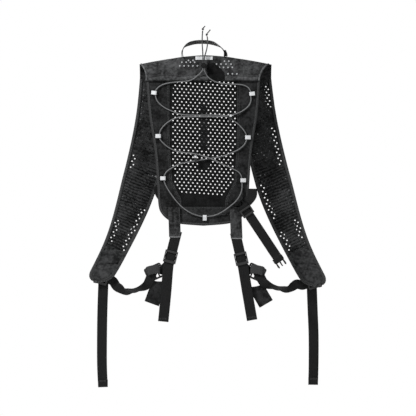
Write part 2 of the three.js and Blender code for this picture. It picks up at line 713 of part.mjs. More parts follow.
// Shock cord: out of the lock, round the seven keepers, crossing twice, and back to the lock.
const LOW = keeperY; // depth of the cord on the panel
const OVER = -6.2; // where it passes over itself or a sleeve
const cordRoute = [
  [lockX - CORD_PITCH, cordY, -46.3],
  [lockX - CORD_PITCH, cordY, -50],
  [lockX - CORD_PITCH, cordY, -54],
  [-5, -10.4, -58.6],
  [-9.4, -8, -63.4],
  [-15.4, -6, -68.4],
  [-23, -5.1, -74.2],
  [-33, -4.9, -78],
  [-50, -4.2, -79.6],
  [-65, -3.2, -81],
  [-80, -2.8, -83.6],
  [-92, -2.6, -88.4],
  [-99.6, LOW, -95.2],
  [-102, LOW, -100],
  [-102, LOW, -106],
  [-101, LOW, -113],
  [-97, LOW, -121.4],
  [-90, LOW, -128.6],
  [-81, LOW, -135],
  [-68, LOW, -141],
  [-54, LOW, -146.6],
  [-40, LOW, -149.2],
  [-20, LOW, -149.8],
  [20, LOW, -149.8],
  [38, LOW, -150],
  [50, LOW, -153.4],
  [62, LOW, -161],
  [74, LOW, -170.8],
  [84, LOW, -182],
  [88.4, LOW, -190],
  [89.2, LOW, -196.4],
  [89, LOW, -202.8],
  [84.6, LOW, -211.4],
  [76, LOW, -219.4],
  [62, LOW, -227.2],
  [40, LOW, -235.6],
  [14, LOW, -240.6],
  [-10, LOW, -244.4],
  [-32, LOW, -248],
  [-52, LOW, -252.4],
  [-66, LOW, -259.8],
  [-77.5, LOW, -267.4],
  [-83.1, LOW, -276.5],
  [-83.3, LOW, -282.2],
  [-83.1, LOW, -289.6],
  [-77.4, LOW, -302.4],
  [-68.6, LOW - 1.4, -316],
  [-58.6, OVER, -329.4],
  [-46, OVER, -342.6],
  [-32, OVER, -352.6],
  [-18, -3.8, -359],
  [-6, LOW, -362],
  [9, LOW, -362.2],
  [24, -3.6, -359.4],
  [40, OVER, -351.6],
  [54, OVER - 0.6, -341.4],
  [66, OVER - 0.8, -331.2],
  [74, OVER, -320.4],
  [79, -4, -308],
  [79.9, LOW, -295],
  [79.3, LOW, -286.4],
  [78.6, LOW, -278.6],
  [73.6, LOW, -270.2],
  [60, -3.4, -262.4],
  [42, OVER, -254.2],
  [22, OVER, -244.6],
  [0, OVER, -236],
  [-22, OVER, -230.4],
  [-44, -5, -228.2],
  [-60, -3.4, -224.6],
  [-76, LOW, -216.4],
  [-87, LOW, -207],
  [-92.8, LOW, -199.6],
  [-93.2, LOW, -193.4],
  [-93, LOW, -186.6],
  [-89.6, LOW, -178.6],
  [-80, LOW, -167.8],
  [-66, LOW, -158.6],
  [-50, LOW, -153.6],
  [-30, LOW, -153.2],
  [10, LOW, -153.2],
  [28, -4.4, -153],
  [44, OVER, -152],
  [58, OVER, -149.4],
  [74, -4.4, -144.4],
  [86, LOW, -137.2],
  [94.4, LOW, -129],
  [98.6, LOW, -119],
  [98.2, LOW, -110],
  [98, LOW, -105],
  [97.4, LOW, -99],
  [92.4, -2.6, -91.6],
  [82, -2.8, -86.6],
  [66, -3.2, -85],
  [44, -4.1, -84],
  [26, -5.6, -80.4],
  [14, -6.2, -74.6],
  [7, -7, -68],
  [3.4, -9.4, -62],
  [1.6, -10.8, -58.2],
  [lockX + CORD_PITCH, cordY, -54],
  [lockX + CORD_PITCH, cordY, -50],
  [lockX + CORD_PITCH, cordY, -46.3],
].map(([x, y, z]) => [x, y, onPanel(z)]);
add("bungee_cord", tube(cordRoute, CORD / 2, 8, 150), "cord");

// The cord's two ends stand up out of the lock in front of the haul loop, each with a knot.
const tailRoutes = {
  left: [
    [lockX - CORD_PITCH, cordY, -45.9],
    [lockX - CORD_PITCH, cordY, -38],
    [lockX - CORD_PITCH, cordY, -29],
    [-2.7, -11.3, -17],
    [-3.6, -10.6, -4],
    [-3.9, -10, 8],
    [-3.4, -9.8, 20],
    [-2.8, -9.8, 27.2],
  ],
  right: [
    [lockX + CORD_PITCH, cordY, -45.9],
    [lockX + CORD_PITCH, cordY, -38],
    [lockX + CORD_PITCH, cordY, -29],
    [3.4, -11.3, -20],
    [6, -10.8, -10],
    [7.4, -10.2, 2],
    [7.3, -9.9, 10],
    [6.4, -9.8, 15.6],
  ],
};
const KNOT_RADIUS = 2.7;
const knotSpots = { left: [-2.3, -9.8, 30.4], right: [5.8, -9.8, 18.8] };
const knotTips = { left: [2.3, -9.8, 37], right: [13.4, -9.8, 29.2] };
for (const name of ["left", "right"]) {
  add(`cord_tail_${name}`, tube(tailRoutes[name], CORD / 2, 8, 14), "cord");
  const ball = new THREE.SphereGeometry(KNOT_RADIUS, 12, 8).translate(...knotSpots[name]);
  const halfway = knotSpots[name].map((value, axis) => (value + knotTips[name][axis]) / 2);
  const stub = tube([knotSpots[name], halfway, knotTips[name]], CORD / 2, 8, 2);
  add(`tail_knot_${name}`, join(ball, stub), "cord");
}

// Two small clips that hold the cord's crossings together.
const clip = (x, z, turn) =>
  plate(rounded(5, 17, 2.2), -2.2, 2.2).rotateY(turn).translate(x, OVER - CORD / 2 - GAP, onPanel(z));
add("cord_clip_right", clip(55, -156, 0.25), "plastic");
add("cord_clip_left", clip(-18, -241, -0.2), "plastic");

// Side straps: on the right a webbing with a slider and the male half of a buckle, on the left
// the female half.
const SIDE_WEBBING = 19;
const sideTop = [90, -352];
const sideLow = [153, -447];
const sideLean = Math.atan2(sideLow[0] - sideTop[0], sideTop[1] - sideLow[1]);
const sideY = -9;
const sideAcross = () => new THREE.Vector3(Math.cos(sideLean), 0, Math.sin(sideLean));
add(
  "side_anchor_tab",
  plate([flat(63.5, -341), flat(78, -341), flat(76.5, -326), flat(65, -328)], -1.7, 1.4),
  "shell",
);
add(
  "side_strap_webbing",
  strip(
    [
      new THREE.Vector3(sideTop[0] - 9, sideY, sideTop[1] + 14),
      new THREE.Vector3(sideTop[0], sideY, sideTop[1]),
      new THREE.Vector3(mix(sideTop[0], sideLow[0], 0.5), sideY, mix(sideTop[1], sideLow[1], 0.5)),
      new THREE.Vector3(sideLow[0], sideY, sideLow[1]),
    ],
    SIDE_WEBBING,
    1.4,
    sideAcross,
    16,
  ),
  "webbing",
);
function framed(width, height, thick, slots) {
  let body = plate(rounded(width, height, 2), -thick / 2, thick);
  for (const [x, z, wide, tall] of slots) {
    body = cut(body, plate(rounded(wide, tall, 0.8).map((p) => flat(p.x + x, p.y + z)), -DEEP, 2 * DEEP));
  }
  return body;
}
const slider = join(
  block([-13, -3.4, -9], [-10, 3, 9]),
  block([10, -3.4, -9], [13, 3, 9]),
  block([-13, -3.4, 5], [13, -1.3, 9]),
  block([-13, -3.4, -9], [13, -1.3, -5]),
  block([-13, 1.3, -2], [13, 3, 2]),
);
slider.rotateY(-sideLean).translate(sideTop[0], sideY, sideTop[1]);
add("side_slider", slider, "plastic");
const spareRoute = [
  new THREE.Vector3(84, -3.6, -337),
  new THREE.Vector3(95, -3.6, -329),
  new THREE.Vector3(104, -2.8, -318),
  new THREE.Vector3(105, -2.6, -306),
];
add(
  "side_strap_spare",
  strip(spareRoute, 15, 1.3, (v) => new THREE.Vector3(mix(0.75, 1, v), 0, mix(0.65, 0, v)), 10),
  "webbing",
);

// The male buckle's loop bar, body, two sprung prongs and centre guide.
const buckleShape = [
  flat(-11.5, 2),
  flat(-11.5, -7),
  flat(-9.8, -9),
  flat(-10.4, -17),
  flat(-8.8, -21),
  flat(-6.4, -19),
  flat(-6.6, -9.5),
  flat(-1.6, -9.5),
  flat(-1.3, -19.5),
  flat(1.3, -19.5),
  flat(1.6, -9.5),
  flat(6.6, -9.5),
  flat(6.4, -19),
  flat(8.8, -21),
  flat(10.4, -17),
  flat(9.8, -9),
  flat(11.5, -7),
  flat(11.5, 2),
];
const buckleMale = cut(
  plate(buckleShape, -2.2, 4.4),
  plate(rounded(19, 2.6, 0.6).map((p) => flat(p.x, p.y - 1.2)), -DEEP, 2 * DEEP),
);
const buckleAt = [sideLow[0] + 2 * Math.sin(sideLean), sideY, sideLow[1] - 2.6 * Math.cos(sideLean) - 0.6];
buckleMale.rotateY(-sideLean).translate(...buckleAt);
add("buckle_male", buckleMale, "plastic");

const femaleY = panelBack + BINDING_PROUD + 5.2;
const femaleAt = [-62, -346];
const FEMALE_TURN = 0.85;
add(
  "side_strap_left",
  strip(
    [
      new THREE.Vector3(-99, femaleY, -298),
      new THREE.Vector3(-93, femaleY, -316),
      new THREE.Vector3(-80, femaleY, -331),
    ],
    SIDE_WEBBING,
    1.4,
    (v) => new THREE.Vector3(1, 0, mix(0.3, 1.1, v)),
    8,
  ),
  "webbing",
);
const buckleFemale = framed(25, 30, 6.4, [[0, 11.5, 19, 3]]);
const mouth = block([-10.5, -2.4, -16], [10.5, 2.4, 6]);
const sideWindows = block([-14, -2.4, -9], [14, 2.4, 1]);
add(
  "buckle_female",
  cut(buckleFemale, mouth, sideWindows)
    .rotateY(-FEMALE_TURN)
    .translate(femaleAt[0], femaleY, femaleAt[1]),
  "plastic",
);

export default pack;
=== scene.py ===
"""A light running pack worn as a vest, hanging by its haul loop, seen from outside.

Shapes are drawn in millimetres in the part's own frame: +Z up, -Y the outside of the pack.
Fabrics are grids of points given a thickness, webbings and bindings are profiles carried along a route.
"""
import math

import bpy
import numpy as np
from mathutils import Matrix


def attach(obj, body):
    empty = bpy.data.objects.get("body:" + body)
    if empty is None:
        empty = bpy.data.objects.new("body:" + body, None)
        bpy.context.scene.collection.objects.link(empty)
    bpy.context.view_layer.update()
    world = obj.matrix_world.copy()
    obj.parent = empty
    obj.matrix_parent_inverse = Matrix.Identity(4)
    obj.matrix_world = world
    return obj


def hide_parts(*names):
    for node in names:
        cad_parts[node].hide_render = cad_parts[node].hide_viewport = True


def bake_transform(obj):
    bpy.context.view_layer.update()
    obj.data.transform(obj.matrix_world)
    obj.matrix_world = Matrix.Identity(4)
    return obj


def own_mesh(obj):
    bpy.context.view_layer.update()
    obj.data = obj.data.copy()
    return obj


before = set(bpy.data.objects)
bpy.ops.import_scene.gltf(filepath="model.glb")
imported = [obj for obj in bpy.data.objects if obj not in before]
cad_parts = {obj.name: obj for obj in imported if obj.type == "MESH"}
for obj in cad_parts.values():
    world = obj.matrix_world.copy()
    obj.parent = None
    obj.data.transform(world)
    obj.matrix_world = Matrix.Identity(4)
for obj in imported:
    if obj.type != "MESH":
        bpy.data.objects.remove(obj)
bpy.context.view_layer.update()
MM = 0.001
TURN = 2 * math.pi

# ---------------------------------------------------------------- camera and light
CAMERA_X = 8.4
CAMERA_Z = -344.6
CAMERA_AWAY = 6000.0
VIEW_ACROSS = 873.6
FILM_WIDTH = 36.0
VEST_MIDDLE = (0.0, 0.0, -0.34)


def make_camera():
    """A long lens straight in front of the panel."""
    data = bpy.data.cameras.new("camera")
    data.sensor_width = FILM_WIDTH
    data.lens = FILM_WIDTH * CAMERA_AWAY / VIEW_ACROSS
    data.clip_end = 50.0
    camera = bpy.data.objects.new("camera", data)
    camera.location = (CAMERA_X * MM, -CAMERA_AWAY * MM, CAMERA_Z * MM)
    camera.rotation_euler = (math.pi / 2, 0, 0)
    bpy.context.collection.objects.link(camera)
    bpy.context.scene.camera = camera


def make_light(name, place, size, power):
    """A square soft light at place, facing the vest's middle."""
    data = bpy.data.lights.new(name, "AREA")
    data.size = size
    data.energy = power
    lamp = bpy.data.objects.new(name, data)
    lamp.location = place
    toward = np.array(VEST_MIDDLE) - np.array(place)
    yaw = math.atan2(toward[0], -toward[1])
    pitch = math.atan2(math.hypot(toward[0], toward[1]), -toward[2])
    lamp.rotation_euler = (pitch, 0, yaw + math.pi)
    bpy.context.collection.objects.link(lamp)


make_camera()
make_light("key", (-1.3, -1.1, 1.1), 0.4, 95.0)
make_light("fill", (1.6, -1.3, 0.3), 0.6, 26.0)
make_light("behind", (0.4, 1.8, 0.8), 1.0, 20.0)
bpy.context.scene.view_settings.view_transform = "Standard"


# ---------------------------------------------------------------- node material helpers
def connect(tree, value, socket):
    """Links a socket to a socket, or sets it to a plain value."""
    if isinstance(value, bpy.types.NodeSocket):
        tree.links.new(value, socket)
    else:
        socket.default_value = value


def new_node(tree, kind, **inputs):
    node = tree.nodes.new("ShaderNode" + kind)
    for label, value in inputs.items():
        connect(tree, value, node.inputs[label])
    return node


def math_node(tree, operation, *values, clamp=False):
    """One arithmetic step on sockets or numbers; returns its output."""
    node = new_node(tree, "Math")
    node.operation = operation
    node.use_clamp = clamp
    for value, socket in zip(values, node.inputs):
        connect(tree, value, socket)
    return node.outputs[0]


def plus(tree, first, second, clamp=False):
    return math_node(tree, "ADD", first, second, clamp=clamp)


def times(tree, first, second):
    return math_node(tree, "MULTIPLY", first, second)


def sine(tree, value, turns=TURN):
    """The sine of a value times turns."""
    return math_node(tree, "SINE", times(tree, value, turns))


def about_half(tree, value, gain):
    """A value's distance from a half, times gain."""
    return times(tree, math_node(tree, "SUBTRACT", value, 0.5), gain)


def noise(tree, vector, scale, detail=2.0):
    return new_node(tree, "TexNoise", Vector=vector, Scale=scale, Detail=detail).outputs["Fac"]


def split_xyz(tree, vector):
    return new_node(tree, "SeparateXYZ", Vector=vector).outputs


def object_place(tree):
    return new_node(tree, "TexCoord").outputs["Object"]


def run_place(tree):
    """The piece's own map: round or across it, and along it in centimetres."""
    place = new_node(tree, "UVMap")
    place.uv_map = "run"
    return place.outputs["UV"]


def make_world():
    """A plain white backdrop that lights the vest at part of its brightness."""
    world = bpy.data.worlds.new("world")
    world.use_nodes = True
    tree = world.node_tree
    back = tree.nodes["Background"]
    back.inputs["Color"].default_value = (1, 1, 1, 1)
    seen = new_node(tree, "LightPath").outputs["Is Camera Ray"]
    tree.links.new(plus(tree, times(tree, seen, 0.72), 0.28), back.inputs["Strength"])
    bpy.context.scene.world = world


make_world()


def new_group(name, inputs, outputs):
    """An empty shader group with a vector and named float inputs and float outputs, and its two end nodes."""
    group = bpy.data.node_groups.new(name, "ShaderNodeTree")
    group.interface.new_socket("Vector", in_out="INPUT", socket_type="NodeSocketVector")
    for label, value in inputs:
        socket = group.interface.new_socket(label, in_out="INPUT", socket_type="NodeSocketFloat")
        socket.default_value = value
    for label in outputs:
        group.interface.new_socket(label, in_out="OUTPUT", socket_type="NodeSocketFloat")
    return group, group.nodes.new("NodeGroupInput").outputs, group.nodes.new("NodeGroupOutput").inputs


def use_group(tree, group, **inputs):
    node = tree.nodes.new("ShaderNodeGroup")
    node.node_tree = group
    for label, value in inputs.items():
        connect(tree, value, node.inputs[label])
    return node.outputs


def weave_group():
    """Threads crossing at right angles: height from the product of two sines, and slow blotches of wear."""
    group, start, end = new_group("weave", [("Pitch", 0.001)], ["Height", "Wear"])
    split = split_xyz(group, start["Vector"])
    turned = [sine(group, math_node(group, "DIVIDE", split[axis], start["Pitch"])) for axis in ("X", "Y")]
    half = times(group, times(group, *turned), 0.5)
    group.links.new(plus(group, half, 0.5), end["Height"])
    group.links.new(noise(group, start["Vector"], 38.0, 5.0), end["Wear"])
    return group


def ribs_group():
    """Webbing ribs: sines across and along the band, the second shifted by the first."""
    group, start, end = new_group("ribs", [("Across", 0.11), ("Along", 0.16)], ["Height"])
    split = split_xyz(group, start["Vector"])
    across = math_node(group, "DIVIDE", split["X"], start["Across"])
    along = math_node(group, "DIVIDE", split["Y"], start["Along"])
    first = sine(group, across)
    second = sine(group, plus(group, along, times(group, first, 0.25)))
    mixed = plus(group, times(group, first, 0.25), times(group, second, 0.25))
    group.links.new(plus(group, mixed, 0.5), end["Height"])
    return group


WEAVE = weave_group()
RIBS = ribs_group()


def start_material(name, rough, specular, metallic=0.0):
    """A material with a bare Principled shader; returns the material, its tree and the shader's inputs."""
    material = bpy.data.materials.new(name)
    material.use_nodes = True
    tree = material.node_tree
    shader = tree.nodes["Principled BSDF"].inputs
    shader["Roughness"].default_value = rough
    shader["Specular IOR Level"].default_value = specular
    shader["Metallic"].default_value = metallic
    return material, tree, shader


def tint(tree, shader, factor, dark, light):
    """The base colour goes from dark to light as factor goes from 0 to 1."""
    ramp = tree.nodes.new("ShaderNodeMix")
    ramp.data_type = "RGBA"
    tree.links.new(factor, ramp.inputs[0])
    ramp.inputs[6].default_value = (*dark, 1)
    ramp.inputs[7].default_value = (*light, 1)
    tree.links.new(ramp.outputs[2], shader["Base Color"])


def bump(tree, shader, height, strength, distance):
    node = new_node(tree, "Bump", Strength=strength, Distance=distance, Height=height)
    tree.links.new(node.outputs["Normal"], shader["Normal"])


def grey(value):
    """A grey with a trace of blue."""
    return (value, value * 1.02, value * 1.04)


def slanted_ribs(tree, place, pitch):
    """Ribs that fall towards the middle of the vest: a sine of the height less part of the distance out.

    They are faint above knit_top and full below it.
    """
    knit_top = -0.26
    split = split_xyz(tree, place)
    out = math_node(tree, "ABSOLUTE", split["X"])
    level = math_node(tree, "SUBTRACT", split["Z"], times(tree, out, 0.42))
    bent = plus(tree, level, times(tree, noise(tree, place, 60.0), 0.006))
    wave = sine(tree, bent, TURN / (pitch * MM))
    low = math_node(tree, "LESS_THAN", split["Z"], knit_top)
    return times(tree, wave, plus(tree, times(tree, low, 0.75), 0.25))


def fabric(name, dark, light, pitch, rough=0.85, depth=0.5, wear=0.8, ribs=0.0):
    """Woven cloth in object coordinates: blotches, slubs and threads shade it from dark to light grey."""
    material, tree, shader = start_material(name, rough, 0.06)
    place = object_place(tree)
    upright = new_node(tree, "Mapping", Vector=place, Rotation=(math.pi / 2, 0, 0)).outputs["Vector"]
    weave = use_group(tree, WEAVE, Vector=upright, Pitch=pitch * MM)
    shade = about_half(tree, weave["Wear"], wear * 2.2)
    shade = plus(tree, shade, about_half(tree, noise(tree, upright, 190.0, 4.0), wear * 1.9))
    if ribs:
        shade = plus(tree, shade, times(tree, slanted_ribs(tree, place, ribs), 0.38))
    shade = plus(tree, shade, about_half(tree, weave["Height"], 0.7))
    tint(tree, shader, plus(tree, shade, 0.45, clamp=True), grey(dark), grey(light))
    bump(tree, shader, weave["Height"], depth, 0.0004)
    return material


def banded(name, dark, light, across, along, rough=0.7, specular=0.2):
    """Webbing or tape, ribbed by its own map."""
    material, tree, shader = start_material(name, rough, specular)
    height = use_group(tree, RIBS, Vector=run_place(tree), Across=across, Along=along)["Height"]
    tint(tree, shader, height, grey(dark), grey(light))
    bump(tree, shader, height, 0.6, 0.0005)
    return material


def moulded(name, colour, rough, specular, metallic=0.0, grain=900.0):
    """Moulded plastic or metal with a fine grain in its gloss."""
    material, tree, shader = start_material(name, rough, specular, metallic)
    speck = noise(tree, object_place(tree), grain, 3.0)
    low, high = ([min(1.0, channel * gain) for channel in colour] for gain in (0.8, 1.2))
    tint(tree, shader, speck, low, high)
    tree.links.new(plus(tree, times(tree, speck, 0.2), rough - 0.1), shader["Roughness"])
    bump(tree, shader, speck, 0.15, 0.0001)
    return material


def braided(name):
    """Shock cord: a braid of pale yarn with dark flecks that wind round it, from two crossing sines."""
    material, tree, shader = start_material(name, 0.6, 0.25)
    split = split_xyz(tree, run_place(tree))
    turned = times(tree, split["X"], 3 * TURN)
    along = times(tree, split["Y"], 26.0)
    left = math_node(tree, "SINE", plus(tree, along, turned))
    right = math_node(tree, "SINE", math_node(tree, "SUBTRACT", along, turned))
    braid = times(tree, left, right)
    level = plus(tree, times(tree, braid, 0.5), 0.5)
    fleck = math_node(tree, "GREATER_THAN", braid, 0.55)
    yarn = plus(tree, times(tree, level, 0.4), 0.6)
    tone = math_node(tree, "SUBTRACT", yarn, times(tree, fleck, 0.55), clamp=True)
    tint(tree, shader, tone, grey(0.012), grey(0.11))
    bump(tree, shader, level, 0.6, 0.0003)
    return material


SHELL = fabric("shell cloth", 0.0025, 0.017, 1.1, wear=1.1)
YOKE = fabric("yoke cloth", 0.006, 0.044, 1.3, wear=1.1)
NET = fabric("net", 0.0015, 0.007, 1.0)
STRAP = fabric("strap net", 0.0015, 0.024, 2.6, rough=0.75, wear=0.9, depth=0.9, ribs=6.6)
# The foam core's pale grey is painted light: it is raised so the holes show lit dots instead of the shade
# inside them.
LIT_CORE = fabric("foam core painted lit", 0.03, 0.34, 2.2, wear=1.6, ribs=13.2)
LINER = fabric("liner net", 0.003, 0.020, 2.6, wear=0.9, depth=0.9)
PATCH = fabric("strap tip cloth", 0.005, 0.036, 1.4, wear=1.1)
YOKE_PALE = fabric("yoke hem cloth", 0.014, 0.062, 1.3, wear=1.2)
SLEEVE = fabric("sleeve twill", 0.004, 0.036, 1.2, wear=1.2)
SLEEVE_DARK = fabric("band twill", 0.003, 0.022, 1.5)
NEAR_BLACK_CLOTH = fabric("near black cloth", 0.001, 0.006, 1.1)
PIPING = fabric("piping", 0.03, 0.10, 1.0)
CORD_PLAIN = fabric("cord end", 0.02, 0.08, 0.9)
KNOT_CORD = fabric("knot cord", 0.008, 0.03, 0.9)
# The spine net's light grey is painted light: it lifts the shade on the tape behind the window net, seen
# through its holes.
LIT_SPINE_NET = fabric("spine net painted lit", 0.05, 0.28, 3.0, wear=1.2)
TAPE = banded("binding tape", 0.004, 0.026, 0.14, 0.12)
TAPE_DARK = banded("dark tape", 0.004, 0.02, 0.14, 0.12)
TAPE_PALE = banded("pale tape", 0.06, 0.17, 0.14, 0.12)
WEBBING = banded("webbing", 0.0012, 0.008, 0.13, 0.18, specular=0.1)
WRAP = banded("wrapped webbing", 0.008, 0.034, 0.13, 0.18, specular=0.12)
PLASTIC = moulded("moulded plastic", grey(0.005), 0.34, 0.9)
LOCK_BLACK = moulded("cord lock plastic", grey(0.003), 0.3, 0.4)
BUCKLE = moulded("buckle plastic", grey(0.006), 0.62, 0.3)
SILVER = moulded("reflective tape", grey(0.40), 0.5, 0.4, metallic=0.2, grain=700.0)
LABEL = moulded("label", grey(0.38), 0.6, 0.3, grain=500.0)
STEEL = moulded("spring wire", grey(0.5), 0.3, 0.5, metallic=1.0)
THREAD = moulded("thread", grey(0.075), 0.7, 0.2, grain=3000.0)
PALE = moulded("vent net", grey(0.20), 0.8, 0.2, grain=1800.0)
CORD = braided("shock cord")
FLOOR = moulded("floor", (0.9, 0.9, 0.9), 0.9, 0.1, grain=3.0)


# ---------------------------------------------------------------- sums on points
def smooth(x, low, high):
    """From 0 at low to 1 at high, level at both ends: three times the square less twice the cube."""
    t = np.clip((np.asarray(x, float) - low) / (high - low), 0, 1)
    return t * t * (3 - 2 * t)


def mix(a, b, t):
    return a + (b - a) * t


def hump(x, middle, width):
    """A bell: one at the middle, falling off as the square of the distance over width."""
    return np.exp(-(((x - middle) / width) ** 2))


def xyz(x, y, z):
    """Points from their three coordinates, any of which may be one number."""
    return np.stack(np.broadcast_arrays(x, y, z), axis=-1).astype(float)


def unit(vectors):
    vectors = np.asarray(vectors, float)
    return vectors / np.maximum(np.linalg.norm(vectors, axis=-1, keepdims=True), 1e-12)


def dot(a, b):
    """The dot products of two rows of vectors, as a column."""
    return np.einsum("ij,ij->i", a, b)[:, None]


def lengths_along(points):
    return np.concatenate([[0], np.cumsum(np.linalg.norm(np.diff(points, axis=0), axis=1))])


def resample(points, count):
    """The same line with count points evenly spaced by length."""
    points = np.asarray(points, float)
    run = lengths_along(points)
    goal = np.linspace(0, run[-1], count)
    return np.stack([np.interp(goal, run, points[:, k]) for k in range(points.shape[1])], axis=1)


def curve_through(points, count):
    """A centripetal Catmull-Rom curve through the points, resampled evenly by length."""
    p = np.asarray(points, float)
    p = np.vstack([2 * p[0] - p[1], p, 2 * p[-1] - p[-2]])
    dense = []
    for i in range(1, len(p) - 2):
        a, b, c, d = p[i - 1 : i + 3]
        t1 = np.linalg.norm(b - a) ** 0.5
        t2 = t1 + np.linalg.norm(c - b) ** 0.5
        t3 = t2 + np.linalg.norm(d - c) ** 0.5
        t = np.linspace(t1, t2, 24, endpoint=False)[:, None]
        a1 = (t1 - t) / t1 * a + t / t1 * b
        a2 = (t2 - t) / (t2 - t1) * b + (t - t1) / (t2 - t1) * c
        a3 = (t3 - t) / (t3 - t2) * c + (t - t2) / (t3 - t2) * d
        b1 = (t2 - t) / t2 * a1 + t / t2 * a2
        b2 = (t3 - t) / (t3 - t1) * a2 + (t - t1) / (t3 - t1) * a3
        dense.append((t2 - t) / (t2 - t1) * b1 + (t - t1) / (t2 - t1) * b2)
    return resample(np.vstack([*dense, p[-2][None]]), count)


def ripple(x, z, size, seed):
    """A smooth shallow unevenness of cloth: four products of slow sines."""
    total = 0
    for k in range(4):
        a = seed * 1.7 + k * 2.1
        slow = np.sin(x * (0.05 + 0.024 * k) + a * 3 + z * 0.013 * (k - 1.5))
        total = total + slow * np.sin(z * (0.04 + 0.02 * k) + a)
    return total * size / 3


# ---------------------------------------------------------------- mesh helpers
def fit(piece, body, slot=None, *nodes):
    """Puts a finished piece on its body, in place of the CAD nodes it stands for; slot is not used."""
    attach(piece, body)
    if nodes:
        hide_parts(*nodes)
    return piece


def add_object(name, data):
    piece = bpy.data.objects.new(name, data)
    bpy.context.collection.objects.link(piece)
    return piece


def make_mesh(name, points, faces, material, uv=None, smooth_faces=True, seam_angle=35):
    """A closed mesh from points in millimetres and faces, turned outwards; uv is one pair per point."""
    data = bpy.data.meshes.new(name)
    data.from_pydata((np.asarray(points, float) * MM).tolist(), [], faces)
    if uv is not None:
        layer = data.uv_layers.new(name="run")
        loops = np.zeros(len(data.loops), int)
        data.loops.foreach_get("vertex_index", loops)
        layer.data.foreach_set("uv", np.asarray(uv, float)[loops].ravel())
    data.materials.append(material)
    data.validate()
    if smooth_faces:
        data.shade_smooth()
        data.set_sharp_from_angle(angle=math.radians(seam_angle))
    if volume(data) < 0:
        data.flip_normals()
    return add_object(name, data)


def volume(data):
    """Six times the enclosed volume: the sum of each triangle's box product with the origin."""
    spots = np.zeros(len(data.vertices) * 3)
    data.vertices.foreach_get("co", spots)
    data.calc_loop_triangles()
    corners = np.zeros(len(data.loop_triangles) * 3, int)
    data.loop_triangles.foreach_get("vertices", corners)
    a, b, c = (spots.reshape(-1, 3)[corners.reshape(-1, 3)[:, k]] for k in range(3))
    return np.einsum("ij,ij->i", a, np.cross(b, c)).sum()


def make_slab(name, points, normals, faces, thick, material):
    """A sheet made solid: copies half the thickness out and back, walls on every open edge."""
    count = len(points)
    both = np.vstack([points + normals * thick / 2, points - normals * thick / 2])
    edges = {pair for face in faces for pair in zip(face, (*face[1:], face[0]))}
    walls = [(b, a, a + count, b + count) for a, b in edges if (b, a) not in edges]
    back = [tuple(i + count for i in reversed(face)) for face in faces]
    return make_mesh(name, both, list(faces) + back + walls, material)


def grid_cloth(name, points, thick, material):
    """A grid of points as cloth of that thickness, its normals the cross product of the grid's two ways."""
    rows, columns = points.shape[:2]
    normals = np.cross(np.gradient(points, axis=1), np.gradient(points, axis=0))
    normals = normals / np.maximum(np.linalg.norm(normals, axis=-1, keepdims=True), 1e-9)
    index = np.arange(rows * columns).reshape(rows, columns)
    quads = np.stack([index[1:, :-1], index[1:, 1:], index[:-1, 1:], index[:-1, :-1]], axis=-1)
    faces = [tuple(quad) for quad in quads.reshape(-1, 4).tolist()]
    return make_slab(name, points.reshape(-1, 3), normals.reshape(-1, 3), faces, thick, material)


def flat_patch(name, low, high, y, thick, material):
    """A small flat rectangle of cloth facing out."""
    x = np.linspace(low[0], high[0], 12)
    z = np.linspace(high[1], low[1], 6)[:, None]
    return grid_cloth(name, xyz(x, y, z), thick, material)


def ribbon_profile(width, thick, crown=0.0):
    """The outline of a flat band with rounded edges, a little thicker in the middle by crown."""
    half = width / 2 - thick / 2
    across = np.linspace(-half, half, 9)
    high = thick / 2 + crown * (1 - (across / half) ** 2)
    turn = np.linspace(math.pi / 2, -math.pi / 2, 5)[1:-1]
    right = np.stack([half + thick / 2 * np.cos(turn), thick / 2 * np.sin(turn)], axis=1)
    top = np.stack([across, high], axis=1)
    low = np.stack([across[::-1], -high[::-1]], axis=1)
    return np.vstack([top, right, low, -right])


def sweep(name, centres, overs, normals, profile, material, scale=1.0, around=None, seam_angle=50):
    """The profile carried along the centres, its first number along overs and its second along normals.

    The map is the profile's first number, or around, and the way along, both in centimetres.
    """
    rings, sides = len(centres), len(profile)
    flat = profile[None] * np.broadcast_to(scale, (rings,))[:, None, None]
    points = centres[:, None] + flat[..., :1] * overs[:, None] + flat[..., 1:] * normals[:, None]
    index = np.arange(rings * sides).reshape(rings, sides)
    turned = np.roll(index, -1, axis=1)
    faces = np.stack([index[:-1], turned[:-1], turned[1:], index[1:]], axis=-1).reshape(-1, 4).tolist()
    faces += [index[0, ::-1].tolist(), index[-1].tolist()]
    around = profile[:, 0] / 10 if around is None else around
    uv = np.stack([np.tile(around, rings), np.repeat(lengths_along(centres) / 10, sides)], axis=1)
    return make_mesh(name, points.reshape(-1, 3), faces, material, uv, seam_angle=seam_angle)


def webbing(name, route, width, thick, side, count, material=WEBBING, crown=0.0):
    """A flat webbing along a route; side points across it, as one vector or by the share 0 to 1 along it."""
    centres = curve_through(route, count)
    along = unit(np.gradient(centres, axis=0))
    across = [side(share) if callable(side) else side for share in np.linspace(0, 1, count)]
    across = np.array(across, float)
    across = unit(across - along * dot(across, along))
    profile = ribbon_profile(width, thick, crown)
    return sweep(name, centres, across, np.cross(along, across), profile, material)


def tube(name, centres, radius, sides, material):
    """A round tube along centres, its frame carried without twist; the map goes once round."""
    along = unit(np.gradient(centres, axis=0))
    over = np.zeros_like(along)
    start = np.cross(along[0], [0.0, 1.0, 0.0])
    if np.linalg.norm(start) < 0.1:
        start = np.cross(along[0], [1.0, 0.0, 0.0])
    over[0] = unit(start)
    for i in range(1, len(along)):
        over[i] = unit(over[i - 1] - along[i] * np.dot(over[i - 1], along[i]))
    turn = np.linspace(0, TURN, sides, endpoint=False)
    profile = np.stack([radius * np.cos(turn), radius * np.sin(turn)], axis=1)
    around = np.arange(sides) / sides
    return sweep(name, centres, over, np.cross(along, over), profile, material, around=around, seam_angle=60)


STITCH_RINGS = np.array([(-0.5, 0.55, 0.0), (-0.2, 1.0, 0.3), (0.2, 1.0, 0.3), (0.5, 0.55, 0.0)])


